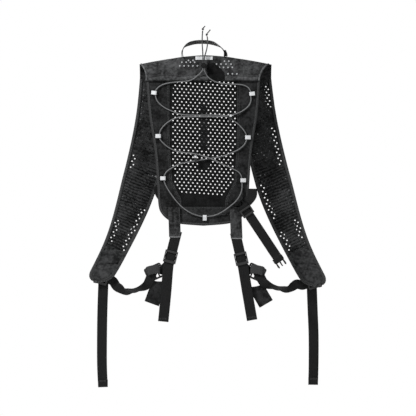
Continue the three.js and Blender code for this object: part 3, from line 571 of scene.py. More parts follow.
def stitches(name, lines, spacing, length, radius, lift=(0, -1, 0)):
    """Short threads along each line of points: four rings of four points, thick and lifted in the middle."""
    lift = np.asarray(lift, float)
    share, size, height = STITCH_RINGS.T[:, None, :, None]
    angle = (np.array([0.25, 0.75, 1.25, 1.75]) * math.pi)[:, None]
    batches = []
    for line in lines:
        count = max(1, int(lengths_along(np.asarray(line, float))[-1] / spacing))
        dense = resample(line, count * 2 + 1)
        centres = dense[1::2, None]
        along = unit(np.gradient(dense, axis=0))[1::2]
        over = unit(np.cross(along, lift))[:, None]
        middle = centres + along[:, None] * share * length + lift * height * radius
        spot = over * np.cos(angle) + lift * np.sin(angle)
        batches.append((middle[:, :, None] + spot[:, None] * radius * size[..., None]).reshape(-1, 3))
    points = np.vstack(batches)
    ring = np.arange(4)
    sides = [
        (i * 4 + ring, i * 4 + (ring + 1) % 4, i * 4 + 4 + (ring + 1) % 4, i * 4 + 4 + ring)
        for i in range(3)
    ]
    quads = np.vstack([np.stack(side, axis=1) for side in sides] + [[(3, 2, 1, 0), (12, 13, 14, 15)]])
    faces = (np.arange(0, len(points), 16)[:, None, None] + quads).reshape(-1, 4).tolist()
    return make_mesh(name, points, faces, THREAD, seam_angle=80)


def bar(x, half, y, z):
    """The ends of a level row of stitches."""
    return [(x - half, y, z), (x + half, y, z)]


def face_area(points, face):
    """Half the length of the summed cross products of the face's triangles."""
    corners = points[list(face)] - points[face[0]]
    return np.linalg.norm(np.cross(corners[1:-1], corners[2:]).sum(axis=0)) / 2


CELL_RING = [(0, 0), (1, 0), (2, 0), (2, 1), (2, 2), (1, 2), (0, 2), (0, 1)]


def punched(name, place, keep, open_at, cell, low, high, radius, thick, material, lean=0.0):
    """Cloth with staggered round holes.

    Cells in brick order cover the area from low to high; each has a ring of eight points round its hole.
    place(across, along) carries flat points to places and normals, keep says which cells are made,
    and open_at says which have holes. Points that fall outside are clamped by place itself.
    """
    pitch, row = cell
    columns = range(math.floor(low[0] / pitch) - 1, math.ceil(high[0] / pitch) + 1)
    rows = range(math.floor(low[1] / row) - 1, math.ceil(high[1] / row) + 1)
    slant = math.tan(lean)
    shared, flat, faces = {}, [], []

    def corner(k, j):
        if (k, j) not in shared:
            shared[(k, j)] = len(flat)
            flat.append((k * pitch / 2, j * row / 2))
        return shared[(k, j)]

    for j in rows:
        for i in columns:
            k = 2 * i + (j % 2)
            middle = ((k + 1) * pitch / 2, (2 * j + 1) * row / 2)
            real = (middle[0], middle[1] + middle[0] * slant)
            if not keep(*real):
                continue
            outer = [corner(k + right, 2 * j + up) for right, up in CELL_RING]
            start = len(flat)
            if not open_at(*real):
                flat.append(middle)
                faces += [(outer[a], outer[(a + 1) % 8], start) for a in range(8)]
                continue
            for spot in outer:
                dx, dy = flat[spot][0] - middle[0], flat[spot][1] - middle[1]
                size = math.hypot(dx, dy)
                flat.append((middle[0] + dx / size * radius, middle[1] + dy / size * radius))
            for a in range(8):
                b = (a + 1) % 8
                faces.append((outer[a], outer[b], start + b, start + a))
    flat = np.array(flat)
    flat[:, 1] += flat[:, 0] * slant
    points, normals = place(flat[:, 0], flat[:, 1])
    faces = [face for face in faces if face_area(points, face) > 0.02]
    used = sorted({i for face in faces for i in face})
    again = {old: new for new, old in enumerate(used)}
    faces = [tuple(again[i] for i in face) for face in faces]
    return make_slab(name, points[used], normals[used], faces, thick, material)


def copy_of(node, name, material, bevel):
    """A smooth-edged twin of a hard CAD piece, which it stands in for."""
    source = bpy.data.objects[node]
    data = source.data.copy()
    data.transform(source.matrix_world)
    data.materials.clear()
    data.materials.append(material)
    piece = add_object(name, data)
    edge = piece.modifiers.new("edge", "BEVEL")
    edge.width = bevel * MM
    edge.segments = 2
    edge.limit_method = "ANGLE"
    edge.angle_limit = math.radians(40)
    data.shade_smooth()
    data.set_sharp_from_angle(angle=math.radians(32))
    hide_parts(node)
    return piece


# ---------------------------------------------------------------- the part's own sizes
PANEL_TOP = -72.0
PANEL_BOTTOM = -382.0
PANEL_CENTRE = -1.5
PANEL_TOP_HALF = 118.0
PANEL_WAIST_HALF = 97.0
PANEL_HEIGHT = PANEL_TOP - PANEL_BOTTOM
BAND_SEAM = PANEL_BOTTOM + 40
YOKE_HALF = 136.0
YOKE_HEM = -78.0
FOLD_RADIUS = 24.0
YOKE_SKIN = -2.15
STRAP_BACK = 45.85
STRAP_TOP = -72.3
STRAP_WIDTH = 72.0
STRAP_LOW_WIDTH = 53.0
STRAP_LENGTH = 460.0
WEBBING_WIDTH = 20.0
LOWER_WIDTH = 22.0
SIDE_WEBBING = 19.0
WEBBING_THICK = 1.6
CORD_WIDE = 2.5
LOCK_X = -0.7
CORD_PITCH = 1.6
CORD_Y = -11.5
SIDES = {
    "left": dict(
        sign=-1, strap=(100, 107.5, 137, 226), low=(-194, -355, -502), tail=(213, 216, 214), tail_length=226,
        sleeve=(63, 61, 67, 73.5, 85.5), hem=-405, glide_top=-434, webbing_end=-583, ladder=(104, -480),
        tab=(108.8, -496, 0.35, 47), link_low=-519.5,
        outer_lanes=((-236, -268), (-376, -424)), inner_lanes=((-338, -430),),
    ),
    "right": dict(
        sign=1, strap=(106.5, 118, 151, 241), low=(-192, -364, -511), tail=(228, 232, 231), tail_length=212,
        sleeve=(66, 68.5, 75, 81, 101), hem=-408, glide_top=-438, webbing_end=-580, ladder=(109, -480),
        tab=(124.4, -503.5, 0.53, 40), link_low=-514.7,
        outer_lanes=((-84, -134), (-176, -262), (-374, -420)), inner_lanes=((-284, -362), (-388, -430)),
    ),
}

# ---------------------------------------------------------------- cord tails and their knots
LEFT_CORD = LOCK_X - CORD_PITCH
RIGHT_CORD = LOCK_X + CORD_PITCH
TAILS = {
    "left": [
        (LEFT_CORD, CORD_Y, -45.9), (LEFT_CORD, CORD_Y, -38), (LEFT_CORD, CORD_Y, -29), (-2.7, -11.3, -17),
        (-3.6, -10.6, -4), (-3.9, -10, 8), (-3.4, -9.8, 20), (-2.8, -9.8, 27.2),
    ],
    "right": [
        (RIGHT_CORD, CORD_Y, -45.9), (RIGHT_CORD, CORD_Y, -38), (RIGHT_CORD, CORD_Y, -29), (3.4, -11.3, -20),
        (6, -10.8, -10), (7.4, -10.2, 2), (7.3, -9.9, 10), (6.4, -9.8, 15.6),
    ],
}
KNOTS = {
    "left": ((-2.3, -9.8, 30.4), (2.3, -9.8, 37.0)),
    "right": ((5.8, -9.8, 18.8), (13.4, -9.8, 29.2)),
}


def cord_tail(side):
    """One free end of the shock cord, standing up out of the lock; returns it and its length."""
    centres = curve_through(TAILS[side], 36)
    data = bpy.data.curves.new(f"cord_end_{side}", "CURVE")
    data.dimensions = "3D"
    data.bevel_depth = CORD_WIDE / 2 * MM
    data.bevel_resolution = 4
    data.use_fill_caps = True
    spline = data.splines.new("POLY")
    spline.points.add(len(centres) - 1)
    spline.points.foreach_set("co", np.column_stack([centres * MM, np.ones(len(centres))]).ravel())
    data.materials.append(CORD_PLAIN)
    return add_object(f"cord_end_{side}", data), lengths_along(centres)[-1] * MM


def knot(side):
    """An overhand knot: the cord winds round itself twice as it passes, and a short tip leaves it."""
    spot, tip = (np.array(place) for place in KNOTS[side])
    turn = np.linspace(0, 1, 44)
    wide = 1.55 * np.sin(turn * math.pi) ** 0.6
    coil = spot + xyz(wide * np.cos(turn * 2 * TURN), wide * np.sin(turn * 2 * TURN), 3.0 * turn - 1.5)
    stub = coil[-1] + (tip - coil[-1]) * np.linspace(0.12, 1, 8)[:, None]
    return tube(f"cord_knot_{side}", resample(np.vstack([coil, stub]), 60), 1.15, 8, KNOT_CORD)


for side in SIDES:
    end, length = cord_tail(side)
    fit(end, "pack", "cord", f"cord_tail_{side}")
    ball = fit(knot(side), "pack", "cord", f"tail_knot_{side}")
    [c * MM for c in TAILS[side][0]]


# ---------------------------------------------------------------- back panel
def panel_half():
    """Half the panel's outline from the top corner to the bottom middle: a Catmull-Rom curve."""
    top, waist, tall = PANEL_TOP_HALF, PANEL_WAIST_HALF, PANEL_HEIGHT
    points = [
        (top + 1.5, PANEL_TOP), (mix(top, waist, 0.2), PANEL_TOP - tall * 0.24),
        (mix(top, waist, 0.78), PANEL_TOP - tall * 0.5), (waist, PANEL_TOP - tall * 0.7),
        (waist - 3, PANEL_TOP - tall * 0.86), (waist - 10, PANEL_TOP - tall * 0.92),
        (waist - 26, PANEL_TOP - tall * 0.965), (waist / 2, PANEL_BOTTOM + 4), (0, PANEL_BOTTOM),
    ]
    p = np.array([points[0], *points, points[-1]], float)
    t = np.linspace(0, 1, 12, endpoint=False)[:, None]
    out = []
    for a, b, c, d in zip(p, p[1:], p[2:], p[3:]):
        v0 = (c - a) / 2
        v1 = (d - b) / 2
        out.append((2 * b - 2 * c + v0 + v1) * t**3 + (-3 * b + 3 * c - 2 * v0 - v1) * t**2 + v0 * t + b)
    return np.vstack([*out, p[-1][None]])


HALF = panel_half()
WINDOW = np.array(
    [
        (70.5, PANEL_TOP + 10), (71, PANEL_TOP - PANEL_HEIGHT * 0.35), (69, PANEL_TOP - PANEL_HEIGHT * 0.52),
        (65, PANEL_TOP - PANEL_HEIGHT * 0.7), (46, PANEL_TOP - PANEL_HEIGHT * 0.82), (46, BAND_SEAM - 1),
    ]
)
EDGE_PROFILE = np.array(
    [
        (0.0, -1.6), (0.5, -2.7), (1.6, -3.15), (4.9, -3.1), (5.2, -2.6),
        (5.2, 2.7), (4.9, 3.1), (1.6, 3.15), (0.5, 2.7), (0.0, 1.6),
    ]
)


def read_off(x, table, key, value):
    """The table's value column at x in its key column."""
    order = np.argsort(table[:, key], kind="stable")
    return np.interp(x, table[order, key], table[order, value])


def panel_at(z):
    """Half the panel's width at height z."""
    return read_off(z, HALF, 1, 0)


def window_at(z):
    """Half the window's width at height z."""
    return read_off(z, WINDOW, 1, 0)


def bottom_at(x):
    """The height of the panel's lower edge at a distance from its middle."""
    return read_off(np.abs(x), HALF, 0, 1)


def side_panel(side):
    """The cloth between the window and the edge binding, rippled, its inner edge turned under."""
    z = np.linspace(PANEL_TOP - 1, BAND_SEAM - 1.5, 90)[:, None]
    share = np.linspace(0, 1, 26)
    inner = window_at(z) - 0.5
    sign = SIDES[side]["sign"]
    x = PANEL_CENTRE + sign * mix(inner, panel_at(z) - 3.5, share)
    y = 0.45 + ripple(x, z, 0.35, 1 + sign) * np.sin(share * math.pi) - 0.35 * hump(share, 0.03, 0.002**0.5)
    return grid_cloth(f"side_cloth_{side}", xyz(x, y, z), 0.8, SHELL)


def panel_binding():
    """Tape folded over the panel's edge all the way round, with a row of stitches on each face."""
    halves = [HALF * (-1, 1), HALF[::-1][1:]]
    line = resample(np.vstack(halves) + (PANEL_CENTRE, 0), 220)
    middle_y = 2.3
    centres = xyz(line[:, 0], middle_y, line[:, 1])
    inward = np.cross(unit(np.gradient(centres, axis=0)), [0.0, -1.0, 0.0])
    inward = inward * np.sign(dot(inward, (PANEL_CENTRE, middle_y, -220.0) - centres))
    deep = np.tile([0.0, 1.0, 0.0], (len(line), 1))
    sewn = centres + inward * 3.7
    return (
        sweep("edge_tape", centres, inward, deep, EDGE_PROFILE, TAPE),
        stitches("edge_stitches", [sewn + (0, -3.35, 0)], 3.4, 2.3, 0.26),
        stitches("edge_stitches_back", [sewn + (0, 3.35, 0)], 3.4, 2.3, 0.26, lift=(0, 1, 0)),
    )


WINDOW_CELL = (9.3, 6.75)
HOLE_RADIUS = 1.5
LOWEST_HOLE = -317.0


def window_sheet():
    """The perforated piece: one sheet from under the yoke to the lower band, punched inside the window."""

    def place(x, z):
        reach = window_at(z) + 5.0
        x = np.clip(x - PANEL_CENTRE, -reach, reach) + PANEL_CENTRE
        z = np.clip(z, BAND_SEAM - 2, PANEL_TOP - 1)
        return xyz(x, 1.25 + ripple(x, z, 0.25, 3), z), np.tile([0.0, -1.0, 0.0], (len(x), 1))

    def keep(x, z):
        return BAND_SEAM - 5 < z < PANEL_TOP + 3 and abs(x - PANEL_CENTRE) < window_at(z) + 8

    def open_at(x, z):
        return LOWEST_HOLE < z < PANEL_TOP - 5 and abs(x - PANEL_CENTRE) < window_at(z) - 3.2

    low = (PANEL_CENTRE - 90, BAND_SEAM - 12)
    high = (PANEL_CENTRE + 90, PANEL_TOP + 12)
    return punched(
        "window_net", place, keep, open_at, WINDOW_CELL, low, high, HOLE_RADIUS, 0.6, NET, lean=-0.07
    )


def lower_band():
    """The cloth below the window, down to the curved bottom, with a dip under its seam."""
    x = np.linspace(-88, 88, 80)
    share = np.linspace(0, 1, 16)[:, None]
    z = mix(BAND_SEAM, np.minimum(bottom_at(x) + 3.0, BAND_SEAM - 1), share)
    x = x + PANEL_CENTRE
    y = 0.15 + ripple(x, z, 0.25, 5) * np.sin(share * math.pi) - 0.25 * hump(share, 0.02, 0.003**0.5)
    return grid_cloth("band_cloth", xyz(x, y, z), 0.8, SLEEVE_DARK)


def liner():
    """Soft padding on the inner face: two flanks and a foot, each a pillow that thins at its edges."""
    flank_foot, foot_top = -330, -328.0
    z = np.linspace(YOKE_HEM - 1, flank_foot, 60)[:, None]
    share = np.linspace(0, 1, 20)
    puff = np.sin(share * math.pi) ** 0.5
    for side, data in SIDES.items():
        x = PANEL_CENTRE + data["sign"] * mix(window_at(z) - 1, panel_at(z) - 5.2, share)
        y = 3.0 + 0.9 * puff + ripple(x, z, 0.3, 4) * puff
        yield grid_cloth(f"liner_{side}", xyz(x, y, z), 0.9, LINER)
    x = np.linspace(-86, 86, 70)
    share = np.linspace(0, 1, 16)[:, None]
    z = mix(foot_top, np.minimum(bottom_at(x) + 5.2, foot_top - 4), share)
    x = x + PANEL_CENTRE
    y = 3.0 + 0.9 * np.sin(share * math.pi) ** 0.5 + ripple(x, z, 0.25, 6) * 0.5
    yield grid_cloth("liner_foot", xyz(x, y, z), 0.9, LINER)


def build_panel():
    for side in SIDES:
        cloth = fit(side_panel(side), "pack", "shell", f"side_panel_{side}")
    tape, *sewn = panel_binding()
    fit(tape, "pack", "binding", "panel_binding")
    net = fit(window_sheet(), "pack", "mesh", "mesh_window")
    band = fit(lower_band(), "pack", "shell", "lower_band")
    for pad in liner():
        fit(pad, "pack", "foam", "back_liner")
    z = np.linspace(YOKE_HEM - 4, BAND_SEAM + 2, 120)
    seams = [
        xyz(PANEL_CENTRE + sign * (window_at(z) + inset), -0.15, z)
        for sign in (-1, 1)
        for inset in (1.6, 4.6)
    ]
    x = np.linspace(-86, 84, 60)
    seams += [xyz(x, -0.45, BAND_SEAM - 2.4), xyz(x * 0.93, -0.45, BAND_SEAM - 16)]
    # The spine tape's pale cloth is painted light for the shade behind the window net.
    spine = [(-1, 2.6, -126), (0, 2.6, -180), (-0.5, 2.6, -222)]
    foot = [(-2, 2.6, -243), (0, 2.7, -252), (2, 2.6, -262)]
    for piece in (
        *sewn,
        stitches("panel_stitches", seams, 3.4, 2.3, 0.25),
        webbing("spine_tape", spine, 12.0, 0.7, (1, 0, 0), 40, material=LIT_SPINE_NET),
        webbing("spine_foot", foot, 25.0, 0.7, (1, 0, 0), 14, material=TAPE_DARK),
    ):
        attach(piece, "pack")


# ---------------------------------------------------------------- yoke
YOKE_TOP_CENTRE = 2.0
VENTS = {
    -34.8: (-32.5, -23), -38.6: (-46.5, -37.4, -28.5, -19.6), -46.3: (-51, -41.8, -32.5, -23.3, -14),
    -36.4: (43, 52), -42.6: (26.2, 35.7, 46.2, 56.7), -49.5: (13.7, 23, 32.3, 41, 50.4, 59.4),
    -63: (50.4, 59.7, 69),
}


def arch_height(x):
    """The yoke's top: it falls as the 1.6th power of the distance from the middle."""
    return -24 - 18 * (np.abs(x - YOKE_TOP_CENTRE) / YOKE_HALF) ** 1.6


def yoke_place(u, v, lift=0.0):
    """A point of the yoke: u from -1 to 1 across it, v from 0 at the hem to 1 at the top of the fold.

    In the middle it is flat; past the straps' inner edges it turns back over a quarter circle.
    """
    half = mix(YOKE_HALF - 16, YOKE_HALF, smooth(v, 0, 1) ** 1.4)
    x = mix(-3.0, YOKE_TOP_CENTRE, v) + u * half
    rise = arch_height(x) - YOKE_HEM
    bent = smooth(np.abs(x - YOKE_TOP_CENTRE), 46, 68)
    straight = rise - FOLD_RADIUS
    run = v * (straight + FOLD_RADIUS * math.pi / 2 - 1)
    turn = np.maximum(0, run - straight) / FOLD_RADIUS
    folded_z = YOKE_HEM + np.minimum(run, straight) + FOLD_RADIUS * np.sin(turn)
    y = YOKE_SKIN + bent * FOLD_RADIUS * (1 - np.cos(turn)) - lift * mix(1, np.cos(turn), bent)
    z = mix(YOKE_HEM + v * rise, folded_z, bent) + lift * bent * np.sin(turn)
    return xyz(x, y, z)


def build_yoke():
    u, v = np.linspace(-1, 1, 110), np.linspace(0, 1, 36)[:, None]
    lift = ripple(u * 130, v * 60, 0.5, 8) * np.sin(v * math.pi) + 0.6 * hump(v, 0.12, 0.004**0.5)
    skin = yoke_place(u, v, lift * 0.7 + 0.0364)
    cloth = fit(grid_cloth("yoke_cloth", skin, 1.2, YOKE), "pack", "yoke", "yoke")
    across, up = np.linspace(-0.97, 0.97, 140), np.linspace(0.02, 0.97, 40)
    rows = [yoke_place(across, height, 1.15) for height in (0.05, 0.22)]
    rows += [yoke_place(edge, up, 1.15) for edge in (-0.955, -0.93, 0.93, 0.955)]
    fit(stitches("yoke_stitches", rows, 3.2, 2.2, 0.26), "pack")
    for side, data in SIDES.items():
        line = resample(yoke_place(data["sign"] * 0.985, up, 0.1), 60)
        fit(tube(f"yoke_piping_{side}", line, 1.9, 10, PIPING), "pack")
    # A dark cord along the yoke's hem: painted shadow line, standing for the shade under the hem.
    fit(tube("yoke_hem_shadow_line", resample(yoke_place(across, 0.0), 120), 1.1, 8, SHELL), "pack")
    wide, tall = np.linspace(-0.955, 0.955, 120), np.linspace(0, 1, 8)[:, None]
    middle = 1 - 0.35 * np.abs(wide) - 0.1 * np.sin(wide * 11)
    raised = 1.1 + 1.1 * np.sin(tall * math.pi) ** 0.7 * middle
    band = grid_cloth("yoke_hem_band", yoke_place(wide, 0.03 + 0.17 * middle * tall, raised), 0.5, YOKE_PALE)
    fit(band, "pack", "yoke")
    fit(vents(), "pack")
    label = flat_patch("label_cloth", (-18, -33.5), (18, -26.5), -4.0, 0.5, LABEL)
    fit(label, "pack", "label", "label_patch")
    dark_sheet = fit(dark_sheet_cloth(), "pack", "shell", "hose_flap")


def vents():
    """Small round vents of pale net let into the yoke: ten-sided discs."""
    sides = 10
    spots = np.array([(x, 0, z) for z, row in VENTS.items() for x in row], float)
    angle = np.arange(sides) * math.pi / 5
    disc = np.vstack([xyz(1.75 * np.cos(angle), y, 1.75 * np.sin(angle)) for y in (-3.75, -3.35)])
    points = (spots[:, None] + disc).reshape(-1, 3)
    faces = []
    for base in range(0, len(points), 2 * sides):
        ring = list(range(base, base + sides))
        faces += [ring, [k + sides for k in reversed(ring)]]
        faces += [(a, a + sides, b + sides, b) for a, b in zip(ring, ring[1:] + ring[:1])]
    return make_mesh("yoke_vents", points, faces, PALE, smooth_faces=False)


def dark_sheet_cloth():
    """A very dark sheet right of the cord lock, narrow at its top and wider below, wavy by two sines."""
    share = np.linspace(0, 1, 22)
    v = np.linspace(0, 1, 16)[:, None]
    low = np.interp(v, [0, 0.45, 1], [8, 7, 9])
    high = np.interp(v, [0, 0.25, 0.5, 0.8, 1], [20, 31, 40, 43.5, 44])
    z = mix(-40, -76.5, v) - 1.2 * np.sin(share * math.pi * 1.3)
    y = -4.3 - 0.7 * np.sin(share * math.pi) * np.sin(v * 2.6) - 0.3 * np.sin(share * 9 + v * 7)
    return grid_cloth("dark_sheet_cloth", xyz(mix(low, high, share), y, z), 0.7, NEAR_BLACK_CLOTH)


build_panel()
build_yoke()

# ---------------------------------------------------------------- shoulder straps
QUILT = (-189.0, -229.0, -273.0)
TIP_FOLDS = (-433.0, -464.0)
PATCH_START = -432.0
STRAP_CELL = (9.0, 6.6)
STRAP_PROFILE = np.array(
    [
        (-2.4, -0.9), (-1.7, -2.2), (-0.6, -2.9), (3.4, -3.3), (4.0, -3.0),
        (4.0, 3.0), (3.4, 3.3), (-0.6, 2.9), (-1.7, 2.2), (-2.4, 0.9),
    ]
)


class Strap:
    """The strap's centre line, a cubic Bezier curve, with its frame and width by distance from the seam."""

    def __init__(self, side):
        data = SIDES[side]
        self.side = side
        self.sign = data["sign"]
        backs = (STRAP_BACK, STRAP_BACK, STRAP_BACK - 1.8, STRAP_BACK - 3)
        x = np.array(data["strap"]) * self.sign
        a, b, c, d = xyz(x, backs, (STRAP_TOP, *data["low"]))
        self.t = np.linspace(0, 1, 600)
        t = self.t[:, None]
        self.line = (1 - t) ** 3 * a + 3 * (1 - t) ** 2 * t * b + 3 * (1 - t) * t**2 * c + t**3 * d
        along = unit(3 * (1 - t) ** 2 * (b - a) + 6 * (1 - t) * t * (c - b) + 3 * t**2 * (d - c))
        square = smooth(t, 0, 0.12) * (1 - 0.85 * smooth(t, 0.82, 1))
        self.over = unit(mix(np.array([1.0, 0, 0]), xyz(-along[:, 2], 0, along[:, 0]), square))
        self.normal = unit(np.cross(along, self.over))
        self.run = lengths_along(self.line)
        self.length = self.run[-1]
        self.patch_start = np.interp(-PATCH_START, -self.line[:, 2], self.run)

    def half(self, t, edge):
        """Half the width at t, less an edge; the end is round."""
        body = mix(STRAP_WIDTH, STRAP_WIDTH + 4, smooth(t, 0.15, 0.45))
        full = mix(body, STRAP_LOW_WIDTH, smooth(t, 0.5, 0.9)) / 2
        past = np.clip((t - 0.95) / (1 - edge / STRAP_LENGTH - 0.95), 0, 1)
        return np.maximum(2.0, (full - edge) * np.sqrt(np.maximum(0, 1 - past**2.4)))

    def half_at(self, s, edge):
        return self.half(np.interp(s, self.run, self.t), edge)

    def at(self, s, values):
        return np.stack([np.interp(s, self.run, values[:, k]) for k in range(3)], axis=-1)

    def spot(self, c, s, lift=0.0):
        """The point c across and s along the strap, lifted out of its outward-seen face."""
        across = self.at(s, self.over) * c[..., None]
        return self.at(s, self.line) + across + self.face(s) * np.asarray(lift)[..., None]

    def face(self, s):
        """The unit vector that points out of the strap's outward-seen face, towards -Y."""
        n = self.at(s, self.normal)
        return n * np.where(n[..., 1:2] > 0, -1, 1)

    def height(self, s):
        return np.interp(s, self.run, self.line[:, 2])


def strap_relief(strap, c, s):
    """How far the strap's face stands out: soft pillow, creases across its inner half, folds near the tip."""
    z = strap.height(s)
    half = strap.half_at(s, 5.0)
    outward = c * strap.sign
    relief = 1.7 * (1 - np.clip(np.abs(c) / half, 0, 1) ** 3)
    inward = smooth(-outward / half, -0.25, 0.15)
    for i, crease in enumerate(QUILT):
        bend = z + 0.10 * outward + 1.5 * np.sin(c * 0.15 + i) - crease
        relief = relief + (1.3 * hump(bend, 9, 7) - 2.6 * hump(bend, 0, 2.6)) * inward
    for crease in TIP_FOLDS:
        bend = z + 0.35 * outward - crease
        relief = relief + 1.2 * hump(bend, -8, 5) - 2.3 * hump(bend, 0, 2.4)
    knit = smooth(-z, 270, 300) * smooth(z, -436, -420)
    relief = relief + 0.28 * np.sin((z + 0.5 * outward) * TURN / 6.6) * knit
    return relief + ripple(c, s, 0.6, 2 + strap.sign)


def strap_skin(strap, front):
    """One face of the strap: net with staggered holes, over the whole length down to the tip cloth."""
    last = strap.length - 6
    end = strap.patch_start + 6 if front else last

    def place(c, s):
        s = np.clip(s, 0.0, last)
        reach = strap.half_at(s, 3.5)
        c = np.clip(c, -reach, reach)
        relief = strap_relief(strap, c, s)
        face = strap.face(s)
        if front:
            return strap.spot(c, s, 1.2 + relief), face
        return strap.spot(c, s, -1.2 - 0.7 * relief), -face

    def keep(c, s):
        return -3 < s < end and abs(c) < strap.half_at(min(max(s, 0), last), 3.5) + 4

    def open_at(c, s):
        return 3 < s < last - 12 and abs(c) < strap.half_at(s, 3.5) - 3.8

    name = f"strap_net_{'front' if front else 'back'}_{strap.side}"
    low, high = (-45, -10), (45, strap.length + 10)
    return punched(name, place, keep, open_at, STRAP_CELL, low, high, HOLE_RADIUS, 0.7, STRAP)


def strap_core(strap):
    """The foam between the two nets, cut back along the open lanes so that light comes through there."""
    s = np.linspace(1, strap.length - 7, 150)[:, None]
    z = strap.height(s)

    def edge(lanes):
        cut = [smooth(z, low - 3, low + 3) * (1 - smooth(z, high - 3, high + 3)) for high, low in lanes]
        return strap.half_at(s, 4.6) - 12.5 * np.max(cut, axis=0)

    outer, inner = (edge(SIDES[strap.side][f"{lane}_lanes"]) for lane in ("outer", "inner"))
    low, high = (-inner, outer) if strap.sign > 0 else (-outer, inner)
    c = mix(low, high, np.linspace(0, 1, 16))
    s = s + 0 * c
    points = strap.spot(c, s, 0.15 * strap_relief(strap, c, s) - 0.2)
    # Painted light: the core's pale cloth lifts the shade seen through the strap's holes.
    return grid_cloth(f"strap_foam_{strap.side}", points, 1.6, LIT_CORE)


def strap_tip(strap):
    """The plain cloth sewn over the strap's end."""
    last = strap.length - 5
    s = mix(strap.patch_start, last, np.linspace(0, 1, 44) ** 0.85)[:, None]
    c = strap.half_at(s, 3.8) * np.linspace(-1, 1, 26)
    s = s + 2.0 * (c / 30) ** 2
    points = strap.spot(c, s, 2.1 + strap_relief(strap, c, np.minimum(s, last)))
    return grid_cloth(f"strap_tip_{strap.side}", points, 0.8, PATCH)


def edge_line(strap, inset, count=320):
    """The strap's outline at an inset, from one shoulder corner round the tip to the other."""
    way = np.linspace(-1, 1, count)
    t = (1 - inset / STRAP_LENGTH) * (1 - np.abs(way) ** 1.7)
    c = -strap.half(t, inset) * np.sign(way)
    c[np.abs(way) < 0.004] = 0
    return resample(strap.spot(c, np.interp(t, strap.t, strap.run)), count)


def strap_binding(strap):
    """Tape folded over the strap's edge, wider at the tip, with zigzag stitches on its face."""
    line = edge_line(strap, 2.4)
    along = unit(np.gradient(line, axis=0))
    deep = np.tile([0.0, 1.0, 0.0], (len(line), 1))
    deep = unit(deep - along * dot(deep, along))
    inward = np.cross(along, deep)
    middle = resample(strap.line, len(line))
    near = middle[np.linalg.norm(middle[None] - line[:, None], axis=-1).argmin(axis=1)]
    inward = inward * np.where(dot(inward, near - line) >= 0, 1, -1)
    wider = 1 + 0.12 * smooth(-line[:, 2], 450, 500)
    tape = sweep(f"strap_tape_{strap.side}", line, inward, deep, STRAP_PROFILE, TAPE, scale=wider)
    count = int(lengths_along(line)[-1] / 2.6)
    reach = np.where(np.arange(count) % 2, 0.3, 2.9)[:, None]
    corners = resample(line, count) + resample(inward, count) * reach + (0, -3.4, 0)
    zigzag = [corners[i : i + 2] for i in range(count - 1)]
    return tape, stitches(f"strap_zigzag_{strap.side}", zigzag, 2.9, 2.9, 0.24)


def shoulder_wing(strap):
    """The padded cloth that turns over the shoulder from the yoke's fold down to the strap's seam."""
    x = strap.line[0, 0] + np.linspace(-1, 1, 22) * (STRAP_WIDTH - 0.5) / 2
    share = np.linspace(0, 1, 26)[:, None]
    centre = arch_height(x) - FOLD_RADIUS
    arc = FOLD_RADIUS * math.pi / 2
    run = -3 + share * (arc + centre - STRAP_TOP + 4.5)
    turn = np.minimum(run / FOLD_RADIUS, math.pi / 2)
    out = FOLD_RADIUS + 0.3 * np.sin(share * math.pi) - 0.9 * np.cos(turn)
    z = centre + out * np.cos(turn) - np.maximum(0, run - arc)
    points = xyz(x, YOKE_SKIN + FOLD_RADIUS + out * np.sin(turn), z)
    return grid_cloth(f"shoulder_cloth_{strap.side}", points, 2.6, STRAP)


def build_strap(side):
    strap = Strap(side)
    body = f"strap_{side}"
    layers = [strap_skin(strap, True), strap_skin(strap, False), strap_core(strap)]
    tip = strap_tip(strap)
    for piece in (*layers, tip):
        fit(piece, body, "foam", f"strap_pad_{side}")
    tape, sewn = strap_binding(strap)
    fit(tape, body, "binding", f"strap_binding_{side}")
    fit(sewn, body)
    wing = shoulder_wing(strap)
    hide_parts(f"shoulder_wing_{side}")
    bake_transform(wing)
    fit(copy_of(f"tip_buckle_{side}", f"adjuster_{side}", PLASTIC, 0.5), body, "plastic")
    build_tail(side, strap.line[-1])
    build_link(side, strap.line[-1])


TAIL_BEHIND = 7.9


def build_tail(side, tip):
    """The webbing tail that hangs from the adjuster behind the strap's tip, with its sewn hem."""
    data = SIDES[side]
    sign, length = data["sign"], data["tail_length"]
    body = f"tail_{side}"
    back = tip[1] + TAIL_BEHIND
    top = tip[2] + 4
    start, middle, x = (sign * out for out in data["tail"])
    route = [
        (start, back, top), (start + 2 * sign, back - 0.4, top - length * 0.25),
        (middle, back, top - length / 2),
        (middle, back + 0.5, top - length * 0.8), (x, back, top - length),
    ]

    def twisted(v):
        return (math.cos(0.25 * sign * v), math.sin(0.25 * sign * v), 0)

    tail = webbing(f"tail_{side}", route, WEBBING_WIDTH + 1.5, 1.5, twisted, 70, crown=0.15)
    fit(tail, body, "webbing", f"tip_tail_{side}")
    z = top - length + 16
    route = [(x, back - 1.4, z), (x, back - 1.4, z - 8), (x, back - 1.3, z - 15.5)]
    fit(webbing(f"tail_hem_{side}", route, WEBBING_WIDTH + 0.5, 1.2, (1, 0, 0), 10), body)
    rows = [bar(x, 9, back - 2.1, z - drop) for drop in (2, 4.2)]
    fit(stitches(f"tail_stitches_{side}", rows, 2.4, 1.8, 0.25), body)


LINK_HANG = [
    (0.34, 49.4, 9), (0.42, 44, 4), (0.5, 35, 0), (0.6, 16, 0.6), (0.75, -1.6, 3.4), (0.94, -1.3, 13),
    (1, -0.9, 24),
]


